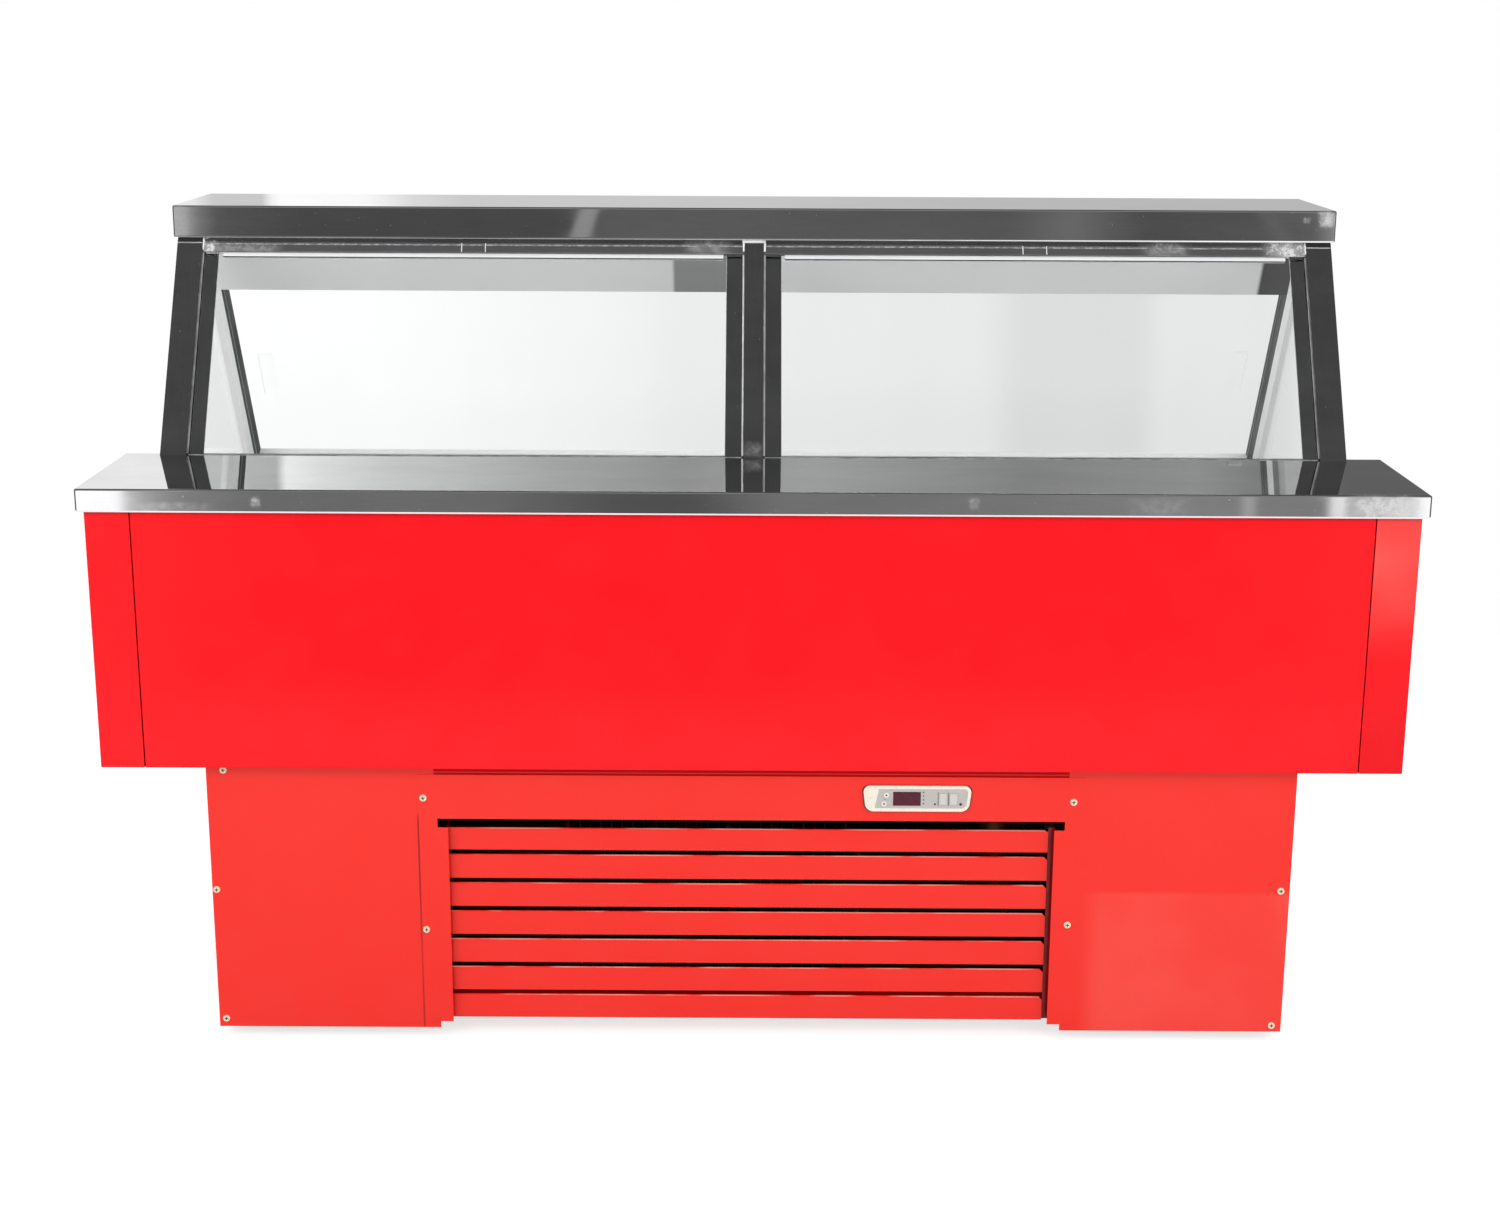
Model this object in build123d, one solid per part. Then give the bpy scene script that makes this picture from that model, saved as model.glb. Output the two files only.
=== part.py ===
from build123d import *
import os
from math import atan, cos, degrees, radians, tan

# Refrigerated meat display case, 2 m long. Units are millimetres.
# X runs along the case, the customer side faces -Y and Z is up. The floor is z = 0.
os.makedirs("parts", exist_ok=True)


def block(x_low, x_high, y_low, y_high, z_low, z_high):
    """Box between two opposite corners."""
    centre = ((x_low + x_high) / 2, (y_low + y_high) / 2, (z_low + z_high) / 2)
    return Pos(*centre) * Box(x_high - x_low, y_high - y_low, z_high - z_low)


def rod(x, y, z, axis, radius, length):
    """Round bar that starts at a point and runs along an axis."""
    start = Plane(origin=(x, y, z), z_dir=axis)
    return start * Cylinder(radius, length, align=(Align.CENTER, Align.CENTER, Align.MIN))


def pipe(points, radius):
    """Round bar that follows a bent line with rounded corners."""
    route = Polyline(*points)
    start = Plane(origin=route @ 0, z_dir=route % 0)
    return sweep(start * Circle(radius), path=route, transition=Transition.ROUND)


def other_end(shape):
    """The same piece at the opposite end of the case."""
    return mirror(shape, about=Plane.YZ)


def level(shape, low, high):
    """The part of a leaning piece between two heights, cut off flat."""
    reach = 2 * ledge_length
    return shape & block(-reach, reach, -reach, reach, low, high)


def save(name, *shapes):
    """Writes the solids of one node."""
    solids = [solid for shape in shapes for solid in shape.solids()]
    shape = solids[0] if len(solids) == 1 else Compound(solids)
    export_step(shape, f"parts/{name}.step")


# Sizes of the whole case
ledge_length = 2000
overall_depth = 1050
canopy_top = 1263
ledge_top = 886
body_bottom = 453
well_depth = 219.8
lean = 31

# Sheet thicknesses and the foamed wall
stainless = 1.5
painted = 1.2
lining = 1.0
foam = 60

# Body of the case: outer skins round a foamed tub, with a hollow box under the ledge
ledge_depth = 290
ledge_fold = 35
front_overhang = 8
end_overhang = 10
body_depth = 924
end_flange = 66.5
seam = 1
panel_return = 20
rib_thickness = 3
rib_edge = 55
lip = 22
worktop_fold = 35

half_length = ledge_length / 2
ledge_front = -overall_depth / 2
ledge_back = ledge_front + ledge_depth
ledge_seat = ledge_top - stainless
body_half = half_length - end_overhang
body_front = ledge_front + front_overhang
body_back = body_front + body_depth
skin_half = body_half - painted
skin_front = body_front + painted
skin_back = body_back - painted
skin_floor = body_bottom + painted
tub_half = skin_half - foam
tub_front = ledge_back - stainless - lining
tub_back = skin_back - foam
tub_floor = skin_floor + foam
wall_front = tub_front - foam
inner_half = tub_half - lining
inner_front = tub_front + lining
inner_back = tub_back - lining
inner_floor = tub_floor + lining
rim_height = inner_floor + well_depth
rim_seat = rim_height - stainless
worktop_back = overall_depth / 2

# Stainless ledge on top of the front box, folded down on all four sides
ledge = block(-half_length, half_length, ledge_front, ledge_back, ledge_top - ledge_fold, ledge_top)
ledge -= block(
    stainless - half_length, half_length - stainless,
    ledge_front + stainless, ledge_back - stainless,
    ledge_top - ledge_fold, ledge_seat,
)
save("counter_ledge", ledge)

# Painted front panel with a short return at each end
panel_half = body_half - end_flange - seam
front_panel = block(-panel_half, panel_half, body_front, skin_front, body_bottom, ledge_seat)
panel_end = block(
    panel_half - painted, panel_half,
    skin_front, skin_front + panel_return,
    skin_floor, ledge_seat,
)
front_panel += panel_end
front_panel += other_end(panel_end)
save("front_panel", front_panel)

# Painted end panels, each wrapping round the front corner, lower behind the ledge
end_panel = block(skin_half, body_half, body_front, body_back, body_bottom, rim_seat)
end_panel += block(skin_half, body_half, body_front, inner_front, rim_seat, ledge_seat)
end_panel += block(
    body_half - end_flange, skin_half,
    body_front, skin_front,
    body_bottom, ledge_seat,
)
save("end_panel_right", end_panel)
save("end_panel_left", other_end(end_panel))

rear_panel = block(-skin_half, skin_half, skin_back, body_back, body_bottom, rim_seat)
save("rear_panel", rear_panel)

# Steel ribs that carry the ledge inside the hollow front box
ribs = []
for place in (-0.75, -0.25, 0.25, 0.75):
    rib_x = place * panel_half
    rib = block(
        rib_x - rib_thickness / 2, rib_x + rib_thickness / 2,
        skin_front, wall_front,
        skin_floor, ledge_seat,
    )
    rib -= block(
        rib_x - rib_thickness, rib_x + rib_thickness,
        skin_front + rib_edge, wall_front - rib_edge,
        skin_floor + rib_edge, ledge_seat - rib_edge,
    )
    ribs.append(rib)
save("ledge_ribs", *ribs)

# The drain and the pipes from the evaporator's outer runs go down through the tub floor
pipe_radius = 6
pipe_hole = 6.4
drain_radius = 16
drain_wall = 3
drain_hole = 16.4
drain_inset = 69
evaporator_half = 640
evaporator_inset = 156.5
evaporator_depth = 280
run_inset = 50
riser_gap = 60

drain_y = inner_back - drain_inset
evaporator_front = inner_front + evaporator_inset
evaporator_back = evaporator_front + evaporator_depth
liquid_y = evaporator_front + run_inset
suction_y = evaporator_back - run_inset
riser_x = evaporator_half + riser_gap
floor_holes = [rod(0, drain_y, body_bottom - 1, (0, 0, 1), drain_hole, foam + 10)]
for riser_y in (liquid_y, suction_y):
    floor_holes.append(rod(riser_x, riser_y, body_bottom - 1, (0, 0, 1), pipe_hole, foam + 10))

# Rigid foam boards between the outer skins and the tub's lining: floor, front, back and ends
underside = block(-skin_half, skin_half, skin_front, skin_back, body_bottom, skin_floor)
floor_board = block(-skin_half, skin_half, wall_front, skin_back, skin_floor, tub_floor)
front_board = block(-skin_half, skin_half, wall_front, tub_front, tub_floor, ledge_seat)
back_board = block(-skin_half, skin_half, tub_back, skin_back, tub_floor, rim_seat)
end_board = block(tub_half, skin_half, tub_front, tub_back, tub_floor, rim_seat)
liner = block(-tub_half, tub_half, tub_front, tub_back, tub_floor, rim_seat)
liner -= block(-inner_half, inner_half, inner_front, inner_back, inner_floor, rim_seat)
liner += block(-skin_half, skin_half, tub_front, inner_front, rim_seat, ledge_seat)
for hole in floor_holes:
    underside -= hole
    floor_board -= hole
    liner -= hole
save("underside_panel", underside)
save("tub_insulation", floor_board, front_board, back_board, end_board, other_end(end_board))
save("tub_liner", liner)

# Stainless caps over the two end walls of the tub
coaming = block(inner_half, body_half, inner_front, inner_back, rim_seat, rim_height)
coaming += block(
    body_half, body_half + stainless,
    inner_front, inner_back,
    rim_height - lip, rim_height,
)
coaming += block(
    inner_half - stainless, inner_half,
    inner_front, inner_back,
    rim_height - lip, rim_height,
)
save("end_coamings", coaming, other_end(coaming))

# Stainless worktop on the server's side, folded at the rear and at both ends
worktop = block(-half_length, half_length, inner_back, worktop_back, rim_seat, rim_height)
worktop += block(
    -half_length, half_length,
    worktop_back - stainless, worktop_back,
    rim_height - worktop_fold, rim_height,
)
worktop_end = block(
    half_length - stainless, half_length,
    inner_back, worktop_back,
    rim_height - worktop_fold, rim_height,
)
worktop += worktop_end
worktop += other_end(worktop_end)
worktop += block(
    stainless - inner_half, inner_half - stainless,
    inner_back - stainless, inner_back,
    rim_height - lip, rim_height,
)
save("rear_worktop", worktop)

# Removable decks that the meat lies on, carried by two angle rails on the tub walls
deck_drop = 45
deck_fold = 20
deck_gap = 3
deck_slot = 21
deck_count = 3
rail_leg = 45
rail_drop = 30
rail_thickness = 3

deck_top = rim_height - deck_drop
deck_seat = deck_top - deck_fold
deck_room = 2 * (inner_half - stainless - deck_gap)
deck_width = (deck_room - (deck_count - 1) * deck_gap) / deck_count
decks = []
for number in range(deck_count):
    deck_left = -deck_room / 2 + number * (deck_width + deck_gap)
    deck = block(
        deck_left, deck_left + deck_width,
        inner_front + deck_slot, inner_back - deck_slot,
        deck_seat, deck_top,
    )
    deck -= block(
        deck_left + stainless, deck_left + deck_width - stainless,
        inner_front + deck_slot + stainless, inner_back - deck_slot - stainless,
        deck_seat, deck_top - stainless,
    )
    decks.append(deck)
save("display_decks", *decks)

front_rail = block(
    -deck_room / 2, deck_room / 2,
    inner_front, inner_front + rail_leg,
    deck_seat - rail_thickness, deck_seat,
)
front_rail += block(
    -deck_room / 2, deck_room / 2,
    inner_front, inner_front + rail_thickness,
    deck_seat - rail_drop, deck_seat,
)
rear_rail = block(
    -deck_room / 2, deck_room / 2,
    inner_back - rail_leg, inner_back,
    deck_seat - rail_thickness, deck_seat,
)
rear_rail += block(
    -deck_room / 2, deck_room / 2,
    inner_back - rail_thickness, inner_back,
    deck_seat - rail_drop, deck_seat,
)
save("deck_rails", front_rail, rear_rail)


coil_plate = 2
coil_fin = 1
coil_tail = 20


def finned_coil(x_low, x_high, y_low, y_high, z_low, z_high, runs, fins, seat):
    """Fins and end plates on a tube that goes to and fro through them; runs are (y, z)."""
    holes = [rod(x_low - 5, y, z, (1, 0, 0), pipe_hole, x_high - x_low + 10) for y, z in runs]
    sheets = [block(x_low, x_low + coil_plate, y_low, y_high, seat, z_high)]
    sheets.append(block(x_high - coil_plate, x_high, y_low, y_high, seat, z_high))
    pitch = (x_high - x_low) / (fins + 1)
    for number in range(1, fins + 1):
        middle = x_low + number * pitch
        sheets.append(block(
            middle - coil_fin / 2, middle + coil_fin / 2,
            y_low, y_high,
            z_low, z_high,
        ))
    for hole in holes:
        sheets = [sheet - hole for sheet in sheets]
    left = x_low - coil_tail
    right = x_high + coil_tail
    points = [(right, *runs[0])]
    for number, run in enumerate(runs):
        far = left if number % 2 == 0 else right
        points.append((far, *run))
        if number + 1 < len(runs):
            points.append((far, *runs[number + 1]))
    return sheets + [pipe(points, pipe_radius)]


# Evaporator on the tub floor under the decks
evaporator_lift = 12
evaporator_room = 20
evaporator_tubes = 4
evaporator_fins = 24

plate_top = deck_seat - rail_drop
evaporator_low = inner_floor + evaporator_lift
evaporator_high = plate_top - evaporator_room
evaporator_z = (evaporator_low + evaporator_high) / 2
tube_pitch = (suction_y - liquid_y) / (evaporator_tubes - 1)
evaporator_runs = [(liquid_y + number * tube_pitch, evaporator_z) for number in range(evaporator_tubes)]
save("evaporator", *finned_coil(
    -evaporator_half, evaporator_half,
    evaporator_front, evaporator_back,
    evaporator_low, evaporator_high,
    evaporator_runs, evaporator_fins, inner_floor,
))


blade_count = 5
blade_pitch = 35
blade_sheet = 2
blade_root = 2


def axial_fan(x, y, z, hub, tip, depth, bore):
    """Fan rotor on an axis along Y: a bored hub with pitched blades; y is its front face."""
    rotor = rod(x, y, z, (0, 1, 0), hub, depth)
    blade_width = 1.5 * hub
    blade_length = tip - hub + blade_root
    for number in range(blade_count):
        turn = number * 360 / blade_count
        blade = Rot(0, 0, blade_pitch) * Box(blade_width, blade_sheet, blade_length)
        blade = Pos(0, 0, tip - blade_length / 2) * blade
        rotor += Pos(x, y + depth / 2, z) * Rot(0, turn, 0) * blade
    return rotor - rod(x, y - depth, z, (0, 1, 0), bore, 3 * depth)


# Two small fans blow through the evaporator, each on a motor held by three arms
fan_plate_gap = 70
fan_x = 320
fan_margin = 8
fan_tip_gap = 5
fan_hub = 20
fan_depth = 24
shaft_radius = 3
shaft_clearance = 0.05
motor_radius = 19
motor_length = 40
motor_gap = 3
arm_width = 8
arm_root = 3
arm_land = 6

fan_plate_y = evaporator_front - fan_plate_gap
fan_z = (inner_floor + plate_top) / 2
fan_hole = (plate_top - inner_floor) / 2 - fan_margin
fan_tip = fan_hole - fan_tip_gap
fan_plate = block(
    -evaporator_half, evaporator_half,
    fan_plate_y, fan_plate_y + stainless,
    inner_floor, plate_top,
)
motors = []
motor_y = fan_plate_y - motor_gap - motor_length
for x in (-fan_x, fan_x):
    fan_plate -= rod(x, fan_plate_y - 1, fan_z, (0, 1, 0), fan_hole, 5)
    motor = rod(x, motor_y, fan_z, (0, 1, 0), motor_radius, motor_length)
    motor += rod(x, motor_y, fan_z, (0, 1, 0), shaft_radius, motor_length + motor_gap + fan_depth)
    for number in range(3):
        arm = block(
            -arm_width / 2, arm_width / 2,
            -motor_gap, 0,
            motor_radius - arm_root, fan_hole + arm_land,
        )
        motor += Pos(x, fan_plate_y, fan_z) * Rot(0, number * 120, 0) * arm
    motors.append(motor)
    fan = axial_fan(
        x, fan_plate_y + motor_gap, fan_z,
        fan_hub, fan_tip, fan_depth, shaft_radius + shaft_clearance,
    )
    save("evaporator_fan_left" if x < 0 else "evaporator_fan_right", fan)
save("evaporator_fan_plate", fan_plate, *motors)

# Drain: a flanged outlet in the tub floor, down and out through the back of the base to a hose tail
base_inset = 154
base_setback = 20
base_rear_setback = 27
base_bottom = 18
drain_drop = 73
drain_stub = 4
drain_groove = 2
drain_tail = 22
tail_radius = 15
groove_radius = 14.5
drain_flange = 26
drain_lip = 1

base_half = body_half - base_inset
base_front = body_front + base_setback
base_back = body_back - base_rear_setback
drain_z = body_bottom - drain_drop
drain_end = base_back + drain_stub
tail_start = drain_end + drain_groove
tail_end = tail_start + drain_tail
drain = pipe([
    (0, drain_y, inner_floor + drain_lip),
    (0, drain_y, drain_z),
    (0, drain_end, drain_z),
], drain_radius)
drain += rod(0, drain_y, inner_floor, (0, 0, 1), drain_flange, drain_lip)
drain += rod(0, drain_end, drain_z, (0, 1, 0), groove_radius, drain_groove)
drain += rod(0, tail_start, drain_z, (0, 1, 0), tail_radius, drain_tail)
drain -= pipe([
    (0, drain_y, inner_floor + 2 * drain_lip),
    (0, drain_y, drain_z),
    (0, tail_end + 1, drain_z),
], drain_radius - drain_wall)
save("drain_pipe", drain)

# Glazed front: sheets lie on the flanges of leaning bars, between raised cover strips
glass = 6
strip_proud = 6
bar_flange = 3
glass_setback = 12
post_inset = 49
post_strip = 42
post_width = 67
mullion_strip = 32
mullion_width = 90
pane_gap = 1

canopy_height = 51
canopy_bottom = canopy_top - canopy_height
glass_foot = ledge_back - glass_setback
slope = tan(radians(lean))
stretch = 1 / cos(radians(lean))
front_slope = Pos(0, glass_foot, ledge_top) * Rot(-lean, 0, 0)
slope_length = (canopy_bottom - ledge_top) * stretch
post_outer = body_half - post_inset
strip_inner = post_outer - post_strip
post_inner = post_outer - post_width


def glazing_bar(strip_low, strip_high, flange_low, flange_high):
    """Leaning bar with a raised strip on a wider flange, standing on the ledge."""
    bar = block(strip_low, strip_high, -strip_proud, glass, -50, slope_length + 50)
    bar += block(flange_low, flange_high, glass, glass + bar_flange, -50, slope_length + 50)
    return level(front_slope * bar, ledge_top, canopy_bottom)


post = glazing_bar(strip_inner, post_outer, post_inner, post_outer)
save("front_post_right", post)
save("front_post_left", other_end(post))
save("mullion", glazing_bar(
    -mullion_strip / 2, mullion_strip / 2,
    -mullion_width / 2, mullion_width / 2,
))

# A folded rail under the canopy and a bright channel hold the top edge of each sheet
channel_height = 6
rail_height = 22
rail_upper_height = 10
channel_sheet = 1.5
rail_proud = 5
rail_upper = 2.5
clip_width = 40
clip_proud = 1.2
clip_margin = 0.8
fit = 0.5

rail_low = canopy_bottom - rail_height
rail_step = canopy_bottom - rail_upper_height
channel_low = rail_low - channel_height
channel_foot = (channel_low - ledge_top) * stretch
rail_foot = (rail_low - ledge_top) * stretch
rail_shoulder = (rail_step - ledge_top) * stretch
channel_x = mullion_width / 2 + fit
channel_end = post_inner - fit
channel = block(channel_x, channel_end, -channel_sheet, glass + channel_sheet, channel_foot, rail_foot)
channel -= block(channel_x, channel_end, 0, glass, channel_foot, rail_foot - channel_sheet)
channel = front_slope * channel
save("glass_channels", channel, other_end(channel))

pane = block(
    mullion_strip / 2 + pane_gap, strip_inner - pane_gap,
    0, glass,
    -50, rail_foot - channel_sheet - fit,
)
pane = level(front_slope * pane, ledge_top, canopy_bottom)
save("front_glass_right", pane)
save("front_glass_left", other_end(pane))

rail_x = mullion_strip / 2 + fit
rail_end = strip_inner - fit
rail = block(rail_x, rail_end, -rail_proud, glass, rail_foot, rail_shoulder)
rail += block(rail_x, rail_end, -rail_upper, glass, rail_shoulder, slope_length + 50)
rail -= block(rail_x, rail_end, stainless - rail_upper, glass, rail_foot + stainless, rail_shoulder)
rail = level(front_slope * rail, ledge_top, canopy_bottom)
clip_x = (rail_x + rail_end) / 2
clip = front_slope * block(
    clip_x - clip_width / 2, clip_x + clip_width / 2,
    -rail_proud - clip_proud, -rail_proud,
    rail_foot + clip_margin, rail_shoulder - clip_margin,
)
save("front_rails", rail, other_end(rail), clip, other_end(clip))

# Canopy: a folded stainless cap with an inward flange, closed from inside by a soffit
canopy_depth = 266
canopy_overhang = 8
canopy_end = 5
canopy_flange = 40
rear_top_inset = 127.7

strip_top = glass_foot - strip_proud * stretch + (canopy_bottom - ledge_top) * slope
canopy_front = strip_top - canopy_overhang
canopy_back = canopy_front + canopy_depth
canopy_half = post_outer + canopy_end
rear_top = canopy_back - rear_top_inset
flange_top = canopy_bottom + stainless
canopy = block(-canopy_half, canopy_half, canopy_front, canopy_back, canopy_bottom, canopy_top)
canopy -= block(
    stainless - canopy_half, canopy_half - stainless,
    canopy_front + stainless, canopy_back - stainless,
    flange_top, canopy_top - stainless,
)
canopy -= block(
    canopy_flange - canopy_half, canopy_half - canopy_flange,
    canopy_front + canopy_flange, canopy_back - canopy_flange,
    canopy_bottom, flange_top,
)
save("canopy", canopy)
soffit = block(
    stainless + fit - canopy_half, canopy_half - stainless - fit,
    canopy_front + stainless + fit, canopy_back - stainless - fit,
    flange_top, flange_top + painted,
)
save("canopy_soffit", soffit)

# Light fitting under the soffit, midway between the glazed front and the rear frame:
# a shallow housing with a rounded diffuser below
lamp_inset = 96
lamp_width = 40
lamp_height = 14
diffuser_depth = 9
diffuser_edge = 4

lamp_half = canopy_half - lamp_inset
front_top = glass_foot + (glass + bar_flange) * stretch + (canopy_bottom - ledge_top) * slope
lamp_middle = (front_top + rear_top) / 2
lamp_low = flange_top - lamp_height
housing = block(
    -lamp_half, lamp_half,
    lamp_middle - lamp_width / 2, lamp_middle + lamp_width / 2,
    lamp_low, flange_top,
)
save("lamp_housing", housing)
diffuser = block(
    diffuser_edge - lamp_half, lamp_half - diffuser_edge,
    lamp_middle - lamp_width / 2 + diffuser_edge, lamp_middle + lamp_width / 2 - diffuser_edge,
    lamp_low - diffuser_depth, lamp_low,
)
diffuser = fillet(diffuser.faces().sort_by(Axis.Z)[0].edges(), diffuser_edge)
save("lamp_diffuser", diffuser)

# Rear frame, leaning the other way: two thin posts, a header and tracks for two sliding sheets
frame_depth = 50
rear_setback = 14
jamb_inset = 11
jamb_width = 10
header_height = 109
track_rise = 22
groove_floor = 10
track_depth = 30
groove_lift = 22
door_sheet = 5
door_clearance = 0.4
door_entry = 10
door_overlap = 30
inner_track = 15
outer_track = 35
grip_width = 24
grip_height = 90
grip_proud = 9
grip_round = 3

rear_foot = inner_back + rear_setback
rear_run = (rear_foot - rear_top) / (canopy_bottom - rim_height)
rear_lean = degrees(atan(rear_run))
rear_stretch = 1 / cos(radians(rear_lean))
rear_slope = Pos(0, rear_foot, rim_height) * Rot(rear_lean, 0, 0)
rear_length = (canopy_bottom - rim_height) * rear_stretch
header_foot = (canopy_bottom - header_height - rim_height) * rear_stretch
jamb_outer = post_outer - jamb_inset
jamb_inner = jamb_outer - jamb_width

jamb = block(jamb_inner, jamb_outer, 0, frame_depth, -100, rear_length + 100)
jamb -= block(
    jamb_inner + stainless, jamb_outer - stainless,
    stainless, frame_depth - stainless,
    -100, rear_length + 100,
)
jamb = level(rear_slope * jamb, rim_height, canopy_bottom)
save("rear_posts", jamb, other_end(jamb))

web_foot = header_foot + track_depth
header = block(-jamb_inner, jamb_inner, 0, frame_depth, header_foot, rear_length + 100)
header -= block(-jamb_inner, jamb_inner, stainless, frame_depth - stainless, header_foot, web_foot)
header -= block(
    -jamb_inner, jamb_inner,
    stainless, frame_depth - stainless,
    web_foot + stainless, rear_length + 100,
)
save("rear_header", level(rear_slope * header, rim_height, canopy_bottom))

lower_track = block(-jamb_inner, jamb_inner, 0, frame_depth, -100, track_rise)
upper_track = block(
    -jamb_inner, jamb_inner,
    stainless, frame_depth - stainless,
    header_foot, web_foot,
)
groove = door_sheet / 2 + door_clearance
for middle in (inner_track, outer_track):
    lower_track -= block(
        -jamb_inner, jamb_inner,
        middle - groove, middle + groove,
        groove_floor, track_rise,
    )
    upper_track -= block(
        -jamb_inner, jamb_inner,
        middle - groove, middle + groove,
        header_foot, header_foot + groove_lift,
    )
save("door_tracks", level(rear_slope * lower_track, rim_height, canopy_bottom), rear_slope * upper_track)


def sliding_door(middle, side):
    """Clear sheet in one pair of grooves, with a grip welded on near its outer edge."""
    outer_edge = jamb_inner - fit
    door = block(
        -door_overlap / 2, outer_edge,
        middle - door_sheet / 2, middle + door_sheet / 2,
        groove_floor + door_clearance, header_foot + door_entry,
    )
    grip_x = outer_edge - 2 * grip_width
    grip_z = header_foot / 2
    grip = block(
        grip_x - grip_width / 2, grip_x + grip_width / 2,
        middle + door_sheet / 2, middle + door_sheet / 2 + grip_proud,
        grip_z - grip_height / 2, grip_z + grip_height / 2,
    )
    door += fillet(grip.faces().sort_by(Axis.Y)[-1].edges(), grip_round)
    door = rear_slope * door
    return door if side > 0 else other_end(door)


save("rear_door_left", sliding_door(inner_track, -1))
save("rear_door_right", sliding_door(outer_track, 1))

# End glass in rubber channels, from the front posts back past the rear frame
gasket_base = 2
gasket_lip = 2
gasket_height = 8
end_gap = 1

glass_low = rim_height + gasket_base
glass_high = canopy_bottom - gasket_base
bar_back = glass_foot + (glass + bar_flange) * stretch + end_gap
frame_back = rear_foot + frame_depth * rear_stretch


def front_edge(z):
    """Front edge of the end glass at a height above the ledge."""
    return bar_back + (z - ledge_top) * slope


def rear_edge(z):
    """Rear edge of the end glass at a height."""
    return frame_back - (z - rim_height) * rear_run


outline = Polyline(
    (ledge_back + end_gap, glass_low),
    (ledge_back + end_gap, ledge_top + (ledge_back + end_gap - bar_back) / slope),
    (front_edge(glass_high), glass_high),
    (rear_edge(glass_high), glass_high),
    (rear_edge(glass_low), glass_low),
    close=True,
)
end_sheet = extrude(Plane.YZ.offset(post_outer - glass) * make_face(outline), glass)
save("end_glass", end_sheet, other_end(end_sheet))

gaskets = []
lower_gasket = block(
    post_outer - glass - gasket_lip, post_outer + gasket_lip,
    ledge_back + 2 * end_gap, rear_edge(rim_height + gasket_height),
    rim_height, rim_height + gasket_height,
)
upper_gasket = block(
    post_outer - glass - gasket_lip, post_outer + gasket_lip,
    front_edge(canopy_bottom) + end_gap, rear_edge(canopy_bottom),
    canopy_bottom - gasket_height, canopy_bottom,
)
gasket_slot = block(
    post_outer - glass, post_outer,
    -overall_depth, overall_depth,
    glass_low, glass_high,
)
for gasket in (lower_gasket - gasket_slot, upper_gasket - gasket_slot):
    gaskets.append(gasket)
    gaskets.append(other_end(gasket))
save("end_glass_gaskets", *gaskets)

# Base frame of square tubes, on plain feet
tube = 30
tube_wall = 2
rail_bottom = 36
toe_setback = 47
grille_half = 512
grille_drop = 15.5
grille_lift = 11
side_lap = 25
post_gap = 1

grille_top = body_bottom - grille_drop
grille_bottom = base_bottom + grille_lift
side_inner = grille_half - side_lap
mid_post = side_inner + post_gap
bottom_rail_front = base_front + toe_setback
rail_top = rail_bottom + tube
beam_bottom = body_bottom - tube
frame_half = base_half - painted
frame_front = base_front + painted
frame_back_y = base_back - painted
corner_inner = frame_half - tube


def square_tube(x_low, x_high, y_low, y_high, z_low, z_high, axis):
    """Square tube with open ends along one axis."""
    wall_x, wall_y, wall_z = (0 if name == axis else tube_wall for name in "XYZ")
    bar = block(x_low, x_high, y_low, y_high, z_low, z_high)
    return bar - block(
        x_low + wall_x, x_high - wall_x,
        y_low + wall_y, y_high - wall_y,
        z_low + wall_z, z_high - wall_z,
    )


uprights = []
rails = []
rear_rail_y = frame_back_y - tube
for y in (frame_front, rear_rail_y):
    rails.append(square_tube(-corner_inner, corner_inner, y, y + tube, beam_bottom, body_bottom, "X"))
    corner = square_tube(corner_inner, frame_half, y, y + tube, base_bottom, body_bottom, "Z")
    uprights.append(corner)
    uprights.append(other_end(corner))
for y in (bottom_rail_front, rear_rail_y - tube):
    rails.append(square_tube(-corner_inner, corner_inner, y, y + tube, rail_bottom, rail_top, "X"))
mid_upright = square_tube(
    mid_post, mid_post + tube,
    frame_front, frame_front + tube,
    rail_bottom, beam_bottom, "Z",
)
uprights.append(mid_upright)
uprights.append(other_end(mid_upright))
for low, high in ((rail_bottom, rail_top), (beam_bottom, body_bottom)):
    cross = square_tube(corner_inner, frame_half, frame_front + tube, rear_rail_y, low, high, "Y")
    rails.append(cross)
    rails.append(other_end(cross))
mid_beam = square_tube(
    mid_post, mid_post + tube,
    frame_front + tube, rear_rail_y,
    beam_bottom, body_bottom, "Y",
)
stub = square_tube(
    mid_post, mid_post + tube,
    frame_front + tube, bottom_rail_front,
    rail_bottom, rail_top, "Y",
)
for piece in (mid_beam, stub):
    rails.append(piece)
    rails.append(other_end(piece))

# Pan-head screws with a cross recess hold the front panels; places are (x, z), set by eye
screw_radius = 2
screw_hole = 2.3
head_radius = 5.5
head_height = 2.5
screw_length = 14
head_round = 1.2
recess_length = 6
recess_width = 1.2
recess_depth = 1
screw_middle = (base_bottom + body_bottom) / 2
corner_screws = [
    (27 - base_half, body_bottom - 10),
    (7 - base_half, screw_middle + 12.5),
    (11 - base_half, base_bottom + 14),
    (base_half - 14, screw_middle + 19),
    (base_half - 15, base_bottom + 11),
]
grille_screws = [
    (8 - grille_half, grille_top - 37.5),
    (7 - grille_half, grille_bottom + 155),
    (grille_half - 17, grille_top - 39),
    (grille_half - 19, grille_bottom + 168),
]
grille_front = base_front - painted


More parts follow.
